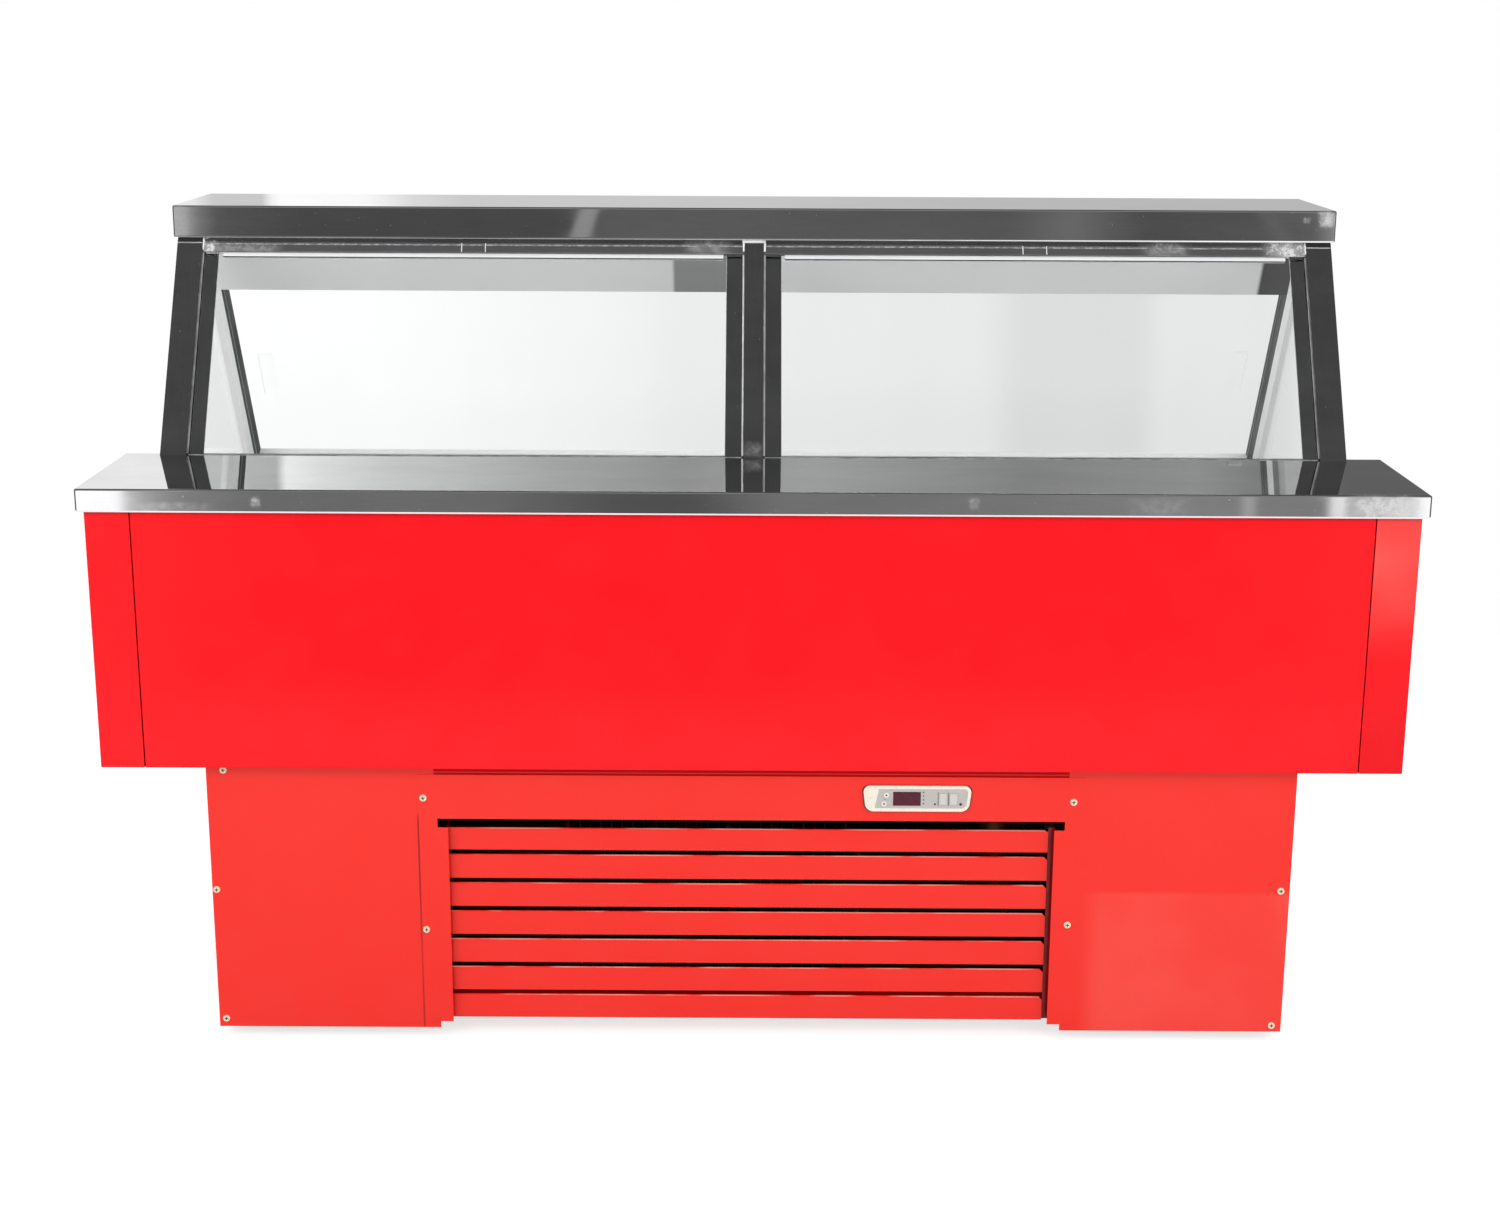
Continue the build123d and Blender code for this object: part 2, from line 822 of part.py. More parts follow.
def screw(x, z, seat):
    """One screw with its head against a panel face at y = seat."""
    head = rod(x, seat - head_height, z, (0, 1, 0), head_radius, head_height)
    head = fillet(head.edges().sort_by(Axis.Y)[0], head_round)
    piece = head + rod(x, seat - 1, z, (0, 1, 0), screw_radius, screw_length + 1)
    for wide, tall in ((recess_length, recess_width), (recess_width, recess_length)):
        piece -= block(
            x - wide / 2, x + wide / 2,
            seat - head_height, seat - head_height + recess_depth,
            z - tall / 2, z + tall / 2,
        )
    return piece


screws = [screw(x, z, base_front) for x, z in corner_screws]
screws += [screw(x, z, grille_front) for x, z in grille_screws]
save("panel_screws", *screws)
screw_holes = [
    rod(x, grille_front - 1, z, (0, 1, 0), screw_hole, screw_length + 5)
    for x, z in corner_screws + grille_screws
]
for hole in screw_holes:
    uprights = [upright - hole for upright in uprights]
save("base_frame", *uprights, *rails)

foot_inset = 56
foot_radius = 22
foot_sole = 8
foot_stem = 12
foot_x = base_half - foot_inset
feet = []
for y in (bottom_rail_front + tube / 2, rear_rail_y - tube / 2):
    for x in (-foot_x, foot_x):
        foot = rod(x, y, 0, (0, 0, 1), foot_radius, foot_sole)
        foot += rod(x, y, foot_sole, (0, 0, 1), foot_stem, rail_bottom - foot_sole)
        feet.append(foot)
save("feet", *feet)

floor_tray = block(
    -frame_half, frame_half,
    bottom_rail_front, rear_rail_y,
    rail_top, rail_top + stainless,
)
save("base_floor_tray", floor_tray)
machine_floor = rail_top + stainless

# Painted panels of the base: two at the front, two ends and a slotted back
right_panel = block(side_inner, base_half, base_front, frame_front, base_bottom, body_bottom)
left_panel = other_end(right_panel)
for hole in screw_holes:
    right_panel -= hole
    left_panel -= hole
save("base_right_panel", right_panel)
save("base_left_panel", left_panel)
end_sheet = block(frame_half, base_half, frame_front, frame_back_y, base_bottom, body_bottom)
save("base_end_panels", end_sheet, other_end(end_sheet))

vent_width = 150
vent_height = 8
vent_pitch = 30
vent_spacing = 300
vent_columns = 4
vent_rows = 6
vent_lift = 112
gland_inset = 176
gland_lift = 132
gland_hole = 10.3
gland_x = base_half - gland_inset
gland_z = base_bottom + gland_lift
base_rear = block(-base_half, base_half, frame_back_y, base_back, base_bottom, body_bottom)
base_rear -= rod(0, frame_back_y - 1, drain_z, (0, 1, 0), drain_hole, 5)
base_rear -= rod(gland_x, frame_back_y - 1, gland_z, (0, 1, 0), gland_hole, 5)
for column in range(vent_columns):
    vent_x = (column - (vent_columns - 1) / 2) * vent_spacing
    for row in range(vent_rows):
        vent_z = base_bottom + vent_lift + row * vent_pitch
        base_rear -= block(
            vent_x - vent_width / 2, vent_x + vent_width / 2,
            frame_back_y - 1, base_back + 1,
            vent_z, vent_z + vent_height,
        )
save("base_rear_panel", base_rear)

# Grille panel: a fascia with two stiles, laid over the side panels
stile = 45
slot_end = 16
fascia = 85.5
slot_height = 11
opening_half = grille_half - stile
slot_half = opening_half + slot_end
slot_low = grille_top - fascia
slot_high = slot_low + slot_height
grille = block(-grille_half, grille_half, grille_front, base_front, grille_bottom, grille_top)
grille -= block(
    -opening_half, opening_half,
    grille_front - 1, base_front + 1,
    grille_bottom - 1, slot_low,
)
grille -= block(-slot_half, slot_half, grille_front - 1, base_front + 1, slot_low, slot_high)

# Louvre slats between two angle rails behind the stiles
slat_count = 7
slat_gap = 7.5
slat_margin = 2
slot_clear = 1.5
slat_recess = 12
slat_lip = 12
rail_cover = 2
rail_back = 34
slat_bottom = grille_bottom + slat_margin
louvre_top = slot_low - slot_clear
slat_height = (louvre_top - slat_bottom - (slat_count - 1) * slat_gap) / slat_count
slat_half = opening_half + rail_cover
slat_face = grille_front + slat_recess
slats = []
for number in range(slat_count):
    low = slat_bottom + number * (slat_height + slat_gap)
    slat = block(
        -slat_half, slat_half,
        slat_face, slat_face + slat_lip,
        low, low + slat_height,
    )
    slat -= block(
        -slat_half, slat_half,
        slat_face + painted, slat_face + slat_lip,
        low + painted, low + slat_height - painted,
    )
    slats.append(slat)
save("louvre_slats", *slats)
louvre_rail = block(
    slat_half, side_inner - 1,
    base_front, frame_front,
    slat_bottom, louvre_top,
)
louvre_rail += block(
    slat_half, slat_half + stainless,
    frame_front, frame_front + rail_back,
    slat_bottom, louvre_top,
)
save("louvre_rails", louvre_rail, other_end(louvre_rail))

# Temperature controller in the fascia, with a display window, two buttons and two keys
bezel_x = 254.5
bezel_drop = 33.5
bezel_width = 168
bezel_height = 41
bezel_proud = 5
bezel_flat = 17
bezel_round = 1.5
housing_width = 146
housing_height = 27
housing_depth = 58
cutout_fit = 0.5
window_x = -16
window_width = 42
window_height = 22
window_depth = 1.5
button_radius = 4
button_depth = 3.2
button_proud = 1
pocket_depth = 5
press_fit = 0.2
button_places = {"button_up": (-47.5, 6), "button_down": (-51, -8)}
key_width = 12
key_height = 18
key_places = {"key_left": 39.5, "key_right": 55.5}

bezel_z = grille_top - bezel_drop
bezel_face = grille_front - bezel_proud
facing = Plane(origin=(bezel_x, bezel_face, bezel_z), x_dir=(1, 0, 0), z_dir=(0, -1, 0))


def behind_face(sketch, start, depth):
    """Prism of a sketch on the controller face, from a depth behind the face."""
    return extrude(facing.offset(-start) * sketch, -depth)


bezel_corner = (bezel_height - bezel_flat) / 2
body = behind_face(RectangleRounded(bezel_width, bezel_height, bezel_corner), 0, bezel_proud)
body = fillet(body.faces().sort_by(Axis.Y)[0].edges(), bezel_round)
body += behind_face(Rectangle(housing_width, housing_height), bezel_proud, housing_depth)
body -= behind_face(
    Pos(window_x, 0) * Rectangle(window_width + 2 * press_fit, window_height + 2 * press_fit),
    0, window_depth,
)
window = behind_face(Pos(window_x, 0) * Rectangle(window_width, window_height), 0, window_depth)
save("controller_display", window)
for name, place in button_places.items():
    body -= behind_face(Pos(*place) * Circle(button_radius + press_fit), 0, pocket_depth)
    plunger = behind_face(Pos(*place) * Circle(button_radius), -button_proud, button_proud + button_depth)
    save(name, plunger)
for name, key_x in key_places.items():
    key_room = Rectangle(key_width + 2 * press_fit, key_height + 2 * press_fit)
    body -= behind_face(Pos(key_x, 0) * key_room, 0, pocket_depth)
    key = Pos(key_x, 0) * Rectangle(key_width, key_height)
    save(name, behind_face(key, -button_proud, button_proud + button_depth))
save("controller_body", body)

cutout = Rectangle(housing_width + 2 * cutout_fit, housing_height + 2 * cutout_fit)
grille -= behind_face(cutout, bezel_proud - 1, painted + 2)
for hole in screw_holes:
    grille -= hole
save("grille_panel", grille)

# Condensing unit on the floor tray: condenser behind the grille, fan, compressor, receiver
blower_offset = 60
condenser_width = 420
condenser_depth = 80
condenser_height = 290
condenser_gap = 25
condenser_lift = 10
condenser_fins = 24
run_count = 6
run_margin = 20
shroud_edge = 14

blower_x = -blower_offset
condenser_left = blower_x - condenser_width / 2
condenser_right = blower_x + condenser_width / 2
condenser_front = bottom_rail_front + condenser_gap
condenser_back = condenser_front + condenser_depth
condenser_low = machine_floor + condenser_lift
condenser_high = condenser_low + condenser_height
condenser_y = (condenser_front + condenser_back) / 2
upper_run = condenser_high - run_margin
lower_run = condenser_low + run_margin
run_pitch = (upper_run - lower_run) / (run_count - 1)
condenser_runs = [(condenser_y, upper_run - number * run_pitch) for number in range(run_count)]
shroud_hole = condenser_height / 2 - shroud_edge
blower_z = (condenser_low + condenser_high) / 2
shroud = block(
    condenser_left, condenser_right,
    condenser_back, condenser_back + stainless,
    machine_floor, condenser_high,
)
shroud -= rod(blower_x, condenser_back - 1, blower_z, (0, 1, 0), shroud_hole, 5)
save("condenser", shroud, *finned_coil(
    condenser_left, condenser_right,
    condenser_front, condenser_back,
    condenser_low, condenser_high,
    condenser_runs, condenser_fins, machine_floor,
))

blower_hub = 28
blower_gap = 9
blower_depth = 36
blower_setback = 12
blower_shaft = 4
blower_motor = 40
blower_motor_length = 80
shaft_root = 5
pedestal = 50
pedestal_inset = 10

blower_tip = shroud_hole - blower_gap
blower_y = condenser_back + blower_setback
motor_front = blower_y + blower_depth + motor_gap
save("condenser_fan", axial_fan(
    blower_x, blower_y, blower_z,
    blower_hub, blower_tip, blower_depth, blower_shaft + shaft_clearance,
))
blower = rod(blower_x, motor_front, blower_z, (0, 1, 0), blower_motor, blower_motor_length)
blower += rod(
    blower_x, blower_y, blower_z,
    (0, 1, 0), blower_shaft, blower_depth + motor_gap + shaft_root,
)
blower += block(
    blower_x - pedestal / 2, blower_x + pedestal / 2,
    motor_front + pedestal_inset, motor_front + blower_motor_length - pedestal_inset,
    machine_floor, blower_z - blower_motor / 2,
)
save("condenser_fan_motor", blower)

compressor_x = 200
compressor_radius = 85
compressor_wall = 150
dome_height = 45
stub_reach = 50
stub_radius = 9
stub_rise = 77.5
base_plate = 5
plate_width = 240
plate_depth = 160
shell_height = base_plate + compressor_wall
shell_top = machine_floor + shell_height
stub_top = shell_top + stub_rise
dome_radius = (compressor_radius ** 2 + dome_height ** 2) / (2 * dome_height)
compressor = block(
    compressor_x - plate_width / 2, compressor_x + plate_width / 2,
    suction_y - plate_depth / 2, suction_y + plate_depth / 2,
    machine_floor, machine_floor + base_plate,
)
shell = rod(compressor_x, suction_y, machine_floor, (0, 0, 1), compressor_radius, shell_height)
dome = Pos(compressor_x, suction_y, shell_top + dome_height - dome_radius) * Sphere(dome_radius)
dome = level(dome, shell_top, shell_top + dome_height)
compressor += shell
compressor += dome
for x in (compressor_x - stub_reach, compressor_x + stub_reach):
    compressor += rod(x, suction_y, shell_top, (0, 0, 1), stub_radius, stub_rise)
save("compressor", compressor)

receiver_x = 430
receiver_radius = 50
receiver_height = 192.5
receiver_stub = 65
receiver_top = machine_floor + receiver_height
receiver = rod(receiver_x, liquid_y, machine_floor, (0, 0, 1), receiver_radius, receiver_height)
receiver += rod(receiver_x, liquid_y, lower_run, (0, -1, 0), stub_radius, receiver_stub)

pipe_drop = 113
suction_drop = 88
pipe_rise = 30
pipe_high = body_bottom - pipe_drop
suction_high = body_bottom - suction_drop
discharge_high = upper_run + pipe_rise
coil_end = condenser_right + coil_tail
turn_x = coil_end + coil_tail
evaporator_end = evaporator_half + coil_tail
discharge_x = compressor_x - stub_reach
discharge = pipe([
    (discharge_x, suction_y, stub_top),
    (discharge_x, suction_y, discharge_high),
    (turn_x, suction_y, discharge_high),
    (turn_x, condenser_y, discharge_high),
    (turn_x, condenser_y, upper_run),
    (coil_end, condenser_y, upper_run),
], pipe_radius)
condensate = pipe([
    (coil_end, condenser_y, lower_run),
    (receiver_x, condenser_y, lower_run),
    (receiver_x, liquid_y - receiver_stub, lower_run),
], pipe_radius)
liquid = pipe([
    (receiver_x, liquid_y, receiver_top),
    (receiver_x, liquid_y, pipe_high),
    (riser_x, liquid_y, pipe_high),
    (riser_x, liquid_y, evaporator_z),
    (evaporator_end, liquid_y, evaporator_z),
], pipe_radius)
suction = pipe([
    (evaporator_end, suction_y, evaporator_z),
    (riser_x, suction_y, evaporator_z),
    (riser_x, suction_y, suction_high),
    (compressor_x + stub_reach, suction_y, suction_high),
    (compressor_x + stub_reach, suction_y, stub_top),
], pipe_radius)
save("refrigerant_circuit", receiver, discharge, condensate, liquid, suction)

# Electrical box on the tray and the gland for the supply cable in the back of the base
box_inset = 196
box_width = 160
box_depth = 110
box_height = 200
box_gap = 40
box_round = 6
box_x = base_half - box_inset
box_back = rear_rail_y - box_gap
supply_box = block(
    box_x - box_width / 2, box_x + box_width / 2,
    box_back - box_depth, box_back,
    machine_floor, machine_floor + box_height,
)
save("electrical_box", fillet(supply_box.edges().filter_by(Axis.Z), box_round))

gland_radius = 10
gland_flange = 15
gland_bore = 5
gland_nut = 14
gland_tail = 10
gland_inner = frame_back_y - gland_tail
gland = rod(gland_x, base_back, gland_z, (0, 1, 0), gland_flange, gland_nut)
gland += rod(gland_x, gland_inner, gland_z, (0, 1, 0), gland_radius, gland_tail + painted + 1)
gland -= rod(gland_x, gland_inner - 1, gland_z, (0, 1, 0), gland_bore, overall_depth)
save("cable_gland", gland)
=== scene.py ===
import math

import bmesh
import bpy
from mathutils import Matrix, Vector


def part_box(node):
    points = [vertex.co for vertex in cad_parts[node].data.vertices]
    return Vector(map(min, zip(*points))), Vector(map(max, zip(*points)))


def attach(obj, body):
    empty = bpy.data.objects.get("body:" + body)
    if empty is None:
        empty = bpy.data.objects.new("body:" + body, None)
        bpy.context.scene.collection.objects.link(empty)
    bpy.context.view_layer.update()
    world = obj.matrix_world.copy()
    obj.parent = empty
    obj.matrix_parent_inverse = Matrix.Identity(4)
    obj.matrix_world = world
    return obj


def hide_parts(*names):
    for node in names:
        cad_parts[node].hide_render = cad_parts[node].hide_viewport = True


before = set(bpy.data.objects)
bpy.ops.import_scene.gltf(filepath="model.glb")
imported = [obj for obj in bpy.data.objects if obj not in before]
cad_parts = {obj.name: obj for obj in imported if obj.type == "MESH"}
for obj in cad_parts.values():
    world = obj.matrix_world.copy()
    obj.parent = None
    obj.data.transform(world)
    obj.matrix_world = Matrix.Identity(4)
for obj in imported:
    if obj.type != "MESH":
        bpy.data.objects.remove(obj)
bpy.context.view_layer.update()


# Camera
# It stands where the photograph was taken: nearly four metres in front of the case, a little
# higher than the canopy, looking slightly down on the ledge and held a hair out of level.
bpy.ops.object.camera_add(
    location=(0.0001, -3.8338, 1.5565),
    rotation=(math.radians(75.4936), -0.00476, 0.00228),
)
camera = bpy.context.object
camera.data.sensor_fit = "HORIZONTAL"
camera.data.sensor_width = 36
camera.data.lens = 55.016
bpy.context.scene.camera = camera
bpy.context.scene.view_settings.view_transform = "Standard"


# Studio
# A pale floor sheet under the case, two soft lamps in front of it and white surroundings.
# In the steel, the room behind the camera shows dark, and the far wall shows white to grey.
def plug(socket, value):
    """A socket set to a value or linked to another node's output."""
    if isinstance(value, bpy.types.NodeSocket):
        socket.id_data.links.new(value, socket)
    else:
        socket.default_value = value


def feed(node, **values):
    """A node, with inputs set or linked by name."""
    for name, value in values.items():
        plug(node.inputs[name.replace("_", " ")], value)
    return node


def put(tree, kind, **values):
    """A new shader node, with inputs set or linked by name."""
    return feed(tree.nodes.new(kind), **values)


def between(value, low, high, start=0.0, end=1.0):
    """A value taken from the range low to high over to the range start to end, with soft ends."""
    ends = {"From_Min": low, "From_Max": high, "To_Min": start, "To_Max": end}
    node = put(value.id_data, "ShaderNodeMapRange", Value=value, **ends)
    node.interpolation_type = "SMOOTHSTEP"
    return node.outputs["Result"]


def combine(operation, first, second):
    """Two values added, multiplied or compared; one or both come from other nodes."""
    source = first if isinstance(first, bpy.types.NodeSocket) else second
    node = source.id_data.nodes.new("ShaderNodeMath")
    node.operation = operation
    plug(node.inputs[0], first)
    plug(node.inputs[1], second)
    return node.outputs["Value"]


def times(first, second):
    return combine("MULTIPLY", first, second)


def band(value, low, high, soft):
    """One between two values and nought outside them, with soft sides."""
    rise = between(value, low - soft, low + soft)
    fall = between(value, high - soft, high + soft, 1.0, 0.0)
    return times(rise, fall)


def grey(tone):
    return (tone, tone, tone, 1)


def tones(value, stops, low=-0.5, high=0.5):
    """Grey tones along a value; stops are (value, tone)."""
    place = put(value.id_data, "ShaderNodeMapRange", Value=value, From_Min=low, From_Max=high)
    node = put(value.id_data, "ShaderNodeValToRGB", Fac=place.outputs["Result"])
    while len(node.color_ramp.elements) < len(stops):
        node.color_ramp.elements.new(0.5)
    for element, (where, tone) in zip(node.color_ramp.elements, stops):
        element.position = (where - low) / (high - low)
        element.color = grey(tone)
    return node.outputs["Color"]


def mix_colours(factor, first, second):
    """Two colours or tones mixed by a factor."""
    node = factor.id_data.nodes.new("ShaderNodeMix")
    node.data_type = "RGBA"
    for number, value in ((0, factor), (6, first), (7, second)):
        plug(node.inputs[number], value)
    return node.outputs[2]


def mix_shaders(factor, first, second):
    """Two shaders mixed by a factor."""
    node = factor.id_data.nodes.new("ShaderNodeMixShader")
    for socket, source in zip(node.inputs, (factor, first, second)):
        plug(socket, source)
    return node.outputs[0]


def settle():
    """The selected piece's place, turn and size, taken up by its mesh."""
    bpy.ops.object.transform_apply(location=True, rotation=True, scale=True)


floor_width = 8.0
floor_front = -2.4
floor_back = 2.0
bpy.ops.mesh.primitive_plane_add(size=1, location=(0, (floor_front + floor_back) / 2, 0))
floor = bpy.context.object
floor.name = "studio_floor"
floor.scale = (floor_width, floor_back - floor_front, 1)
settle()

floor_finish = bpy.data.materials.new("floor_sheet")
floor_finish.use_nodes = True
tree = floor_finish.node_tree
tree.nodes.clear()
path = tree.nodes.new("ShaderNodeLightPath").outputs
seen = combine("MAXIMUM", path["Is Camera Ray"], path["Is Transmission Ray"])
seen = combine("MAXIMUM", seen, path["Is Glossy Ray"])
sheet = put(tree, "ShaderNodeBsdfDiffuse", Color=grey(0.54))
glow = put(tree, "ShaderNodeEmission", Color=grey(1), Strength=times(seen, 0.70))
both = tree.nodes.new("ShaderNodeAddShader")
plug(both.inputs[0], sheet.outputs[0])
plug(both.inputs[1], glow.outputs[0])
put(tree, "ShaderNodeOutputMaterial", Surface=both.outputs[0])
floor.data.materials.append(floor_finish)

surroundings = bpy.data.worlds.new("surroundings")
bpy.context.scene.world = surroundings
surroundings.use_nodes = True
tree = surroundings.node_tree
tree.nodes.clear()
direction = tree.nodes.new("ShaderNodeTexCoord").outputs["Generated"]
across, along, upward = put(tree, "ShaderNodeSeparateXYZ", Vector=direction).outputs

# The far wall: white from a corner at the left, falling to grey; its foot is lighter than its top
wall_foot = tones(across, [
    (-0.45, 0.75), (-0.235, 0.90), (-0.226, 0.64), (-0.205, 0.64), (-0.2025, 1.08), (-0.165, 1.04),
    (-0.145, 0.77), (-0.125, 0.66), (0.00, 0.62), (0.10, 0.54), (0.24, 0.52), (0.45, 0.45),
])
wall_top = tones(across, [
    (-0.45, 0.75), (-0.262, 0.99), (-0.2195, 0.88), (-0.217, 0.62), (-0.2025, 0.58), (-0.2005, 1.16),
    (-0.185, 0.97), (-0.16, 0.80), (-0.087, 0.51), (-0.03, 0.39), (0.025, 0.46), (0.12, 0.30),
    (0.19, 0.37), (0.25, 0.14),
])
far_wall = mix_colours(between(upward, 0.10, 0.17), wall_foot, wall_top)

# The room behind the camera: dark, with two leaning strips of light, and bright beyond both ends
room = tones(across, [
    (-0.25, 0.58), (-0.242, 0.72), (-0.234, 0.24), (-0.2265, 0.12), (-0.19, 0.085), (-0.085, 0.09),
    (-0.06, 0.145), (0.03, 0.13), (0.11, 0.12), (0.135, 0.19), (0.165, 0.10), (0.215, 0.115),
    (0.235, 0.15), (0.27, 1.00),
])
leaning = combine("SUBTRACT", across, times(upward, 0.33))
room = mix_colours(band(leaning, -0.0495, -0.0398, 0.0015), room, grey(0.36))
leaning = combine("ADD", across, times(upward, 0.75))
room = mix_colours(band(leaning, 0.1545, 0.1615, 0.0015), room, grey(0.16))

# The floor behind the camera: lighter, with two bright things standing near the right end
room_floor = tones(across, [
    (-0.2655, 1.40), (-0.2625, 0.72), (-0.2535, 0.42), (-0.24, 0.28), (-0.21, 0.205), (-0.11, 0.195),
    (-0.06, 0.11), (-0.025, 0.115), (0.012, 0.225), (0.10, 0.235), (0.20, 0.29), (0.2527, 0.27),
    (0.2755, 0.52), (0.278, 1.40),
])
room_floor = mix_colours(band(across, 0.209, 0.214, 0.002), room_floor, grey(0.48))
room_floor = mix_colours(band(across, 0.244, 0.2515, 0.001), room_floor, grey(1.10))
room = mix_colours(between(upward, -0.17, -0.10), room_floor, room)

# Higher up: pale behind the camera too, with a dark ceiling that folds and leaning bars mirror,
# and dark to both sides, where only the folded corners look
upper_room = tones(upward, [(0.10, 0.10), (0.30, 0.40)], 0.0, 1.0)
room = mix_colours(between(upward, -0.02, 0.15), room, upper_room)
reflected = mix_colours(between(along, -0.12, 0.12), room, far_wall)
reflected = mix_colours(between(upward, 0.58, 0.69), reflected, grey(0.105))
sideways = combine("ABSOLUTE", across, 0.0)
reflected = mix_colours(between(sideways, 0.40, 0.48), reflected, grey(0.12))

# The backdrop: white, and a little greyer to the right where it is seen through the glass
through_glass = tones(across, [
    (-0.20, 1.13), (-0.15, 1.11), (-0.06, 1.01), (-0.03, 0.95), (0.10, 0.91),
    (0.115, 0.815), (0.165, 0.815), (0.175, 0.90), (0.24, 0.90),
])
through_glass = times(through_glass, between(upward, -0.18, -0.12, 0.95, 1.0))
path = tree.nodes.new("ShaderNodeLightPath").outputs
backdrop = mix_colours(path["Is Transmission Ray"], grey(1), through_glass)
in_mirror = combine("GREATER_THAN", path["Glossy Depth"], 0.5)
seen = combine("MAXIMUM", path["Is Camera Ray"], path["Is Transmission Ray"])
seen = combine("SUBTRACT", seen, in_mirror)
fill = put(tree, "ShaderNodeBackground", Color=grey(1), Strength=0.76)
mirror = put(tree, "ShaderNodeBackground", Color=reflected, Strength=1.0)
white = put(tree, "ShaderNodeBackground", Color=backdrop, Strength=1.0)
lit = mix_shaders(path["Is Glossy Ray"], fill.outputs[0], mirror.outputs[0])
shown = mix_shaders(seen, lit, white.outputs[0])
put(tree, "ShaderNodeOutputWorld", Surface=shown)

lamp_size = 2.4
for lamp_place, lamp_watts in (((-2.6, -3.8, 2.9), 66), ((2.8, -3.6, 2.6), 56)):
    towards = Vector((0, -0.3, 0.6)) - Vector(lamp_place)
    bpy.ops.object.light_add(
        type="AREA", location=lamp_place,
        rotation=towards.to_track_quat("-Z", "Y").to_euler(),
    )
    lamp = bpy.context.object
    lamp.data.shape = "SQUARE"
    lamp.data.size = lamp_size
    lamp.data.energy = lamp_watts
    lamp.visible_glossy = False


# Base frame
# Lengths of square steel tube, welded and painted red; the red is darkened as painted shade, with a painted
# highlight along the rail over the grille.
# It stands on four moulded rubber feet, and a galvanised tray lies on its lower rails, coloured dark as dust
# and as painted shade.
def start_material(name):
    """A new material, its node tree and its shader."""
    material = bpy.data.materials.new(name)
    material.use_nodes = True
    return material, material.node_tree, material.node_tree.nodes["Principled BSDF"]


def on_piece(tree):
    """The place on the piece, in metres."""
    return tree.nodes.new("ShaderNodeTexCoord").outputs["Object"]


def noise(tree, scale, stretch=(1, 1, 1), detail=3.0, rough=0.5):
    """Cloudy noise fixed to the piece, stretched by a scale for each axis."""
    place = put(tree, "ShaderNodeMapping", Vector=on_piece(tree), Scale=stretch).outputs["Vector"]
    cloud = put(tree, "ShaderNodeTexNoise", Vector=place, Scale=scale, Detail=detail, Roughness=rough)
    return cloud.outputs["Fac"]


def colour(shader, factor, first, second):
    """The shader's colour, mixed from two colours."""
    feed(shader, Base_Color=mix_colours(factor, (*first, 1), (*second, 1)))


def sheen(shader, factor, low, high):
    """The shader's roughness, between two values."""
    feed(shader, Roughness=between(factor, 0.3, 0.7, low, high))


def relief(shader, height, strength, distance):
    """Fine relief on the surface; the distance is its depth in metres."""
    bump = put(shader.id_data, "ShaderNodeBump", Height=height, Strength=strength, Distance=distance)
    feed(shader, Normal=bump.outputs["Normal"])


def speckled(
    name, scale, first, second, gloss, detail=4, stretch=(1, 1, 1), spread=None, metal=0.0, grain=None,
):
    """A finish in two colours, mixed by cloudy specks that vary its roughness too.

    Spread sharpens the specks. Grain is the scale, strength and depth of a fine relief; with no
    scale the specks themselves stand out.
    """
    material, tree, shader = start_material(name)
    specks = noise(tree, scale, stretch, detail)
    share = between(specks, *spread) if spread else specks
    colour(shader, share, first, second)
    feed(shader, Metallic=metal)
    sheen(shader, specks, *gloss)
    if grain:
        fine, strength, depth = grain
        relief(shader, noise(tree, fine, detail=2) if fine else specks, strength, depth)
    return material


def finish_node(material, *names):
    """A CAD node kept as it is, with a better finish."""
    for name in names:
        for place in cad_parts[name].material_slots:
            place.material = material


# The frame's red is darkened as painted shade under the body.
frame_paint, tree, shader = start_material("frame_paint")
speckle = noise(tree, 60, detail=4)
paint = mix_colours(speckle, (0.54, 0.001, 0.003, 1), (0.64, 0.003, 0.005, 1))
height = put(tree, "ShaderNodeSeparateXYZ", Vector=on_piece(tree)).outputs["Z"]
# A painted highlight: a thin pale line along the rail over the grille.
painted_highlight_line = times(band(height, 0.4404, 0.4418, 0.0004), 0.85)
paint = mix_colours(painted_highlight_line, paint, (0.98, 0.05, 0.04, 1))
feed(shader, Base_Color=paint, Specular_IOR_Level=0.1)
sheen(shader, speckle, 0.38, 0.55)
relief(shader, noise(tree, 900, detail=2), 0.25, 0.0004)

foot_rubber = speckled(
    "foot_rubber", 220, (0.012, 0.012, 0.013), (0.03, 0.03, 0.032), (0.6, 0.8),
    detail=5, grain=(None, 0.3, 0.0005),
)
# Dark brown, partly as dust and partly as painted shade behind the grille.
dust_and_shade_tray = speckled(
    "dust_and_shade_tray", 14, (0.030, 0.009, 0.008), (0.085, 0.026, 0.022), (0.55, 0.75),
    detail=5, spread=(0.35, 0.65), metal=0.2,
)
finish_node(frame_paint, "base_frame")
finish_node(foot_rubber, "feet")
finish_node(dust_and_shade_tray, "base_floor_tray")


# Condensing unit
# Black compressor, finned condenser coloured dark brown as dust and as painted shade, its fan and
# motor, copper pipes, a plastic box for the wiring, and the grey drain. The unit stands on the tray,
# in the dark behind the grille.
machine_black = speckled("machine_black", 120, (0.012, 0.012, 0.013), (0.028, 0.028, 0.03), (0.3, 0.5))
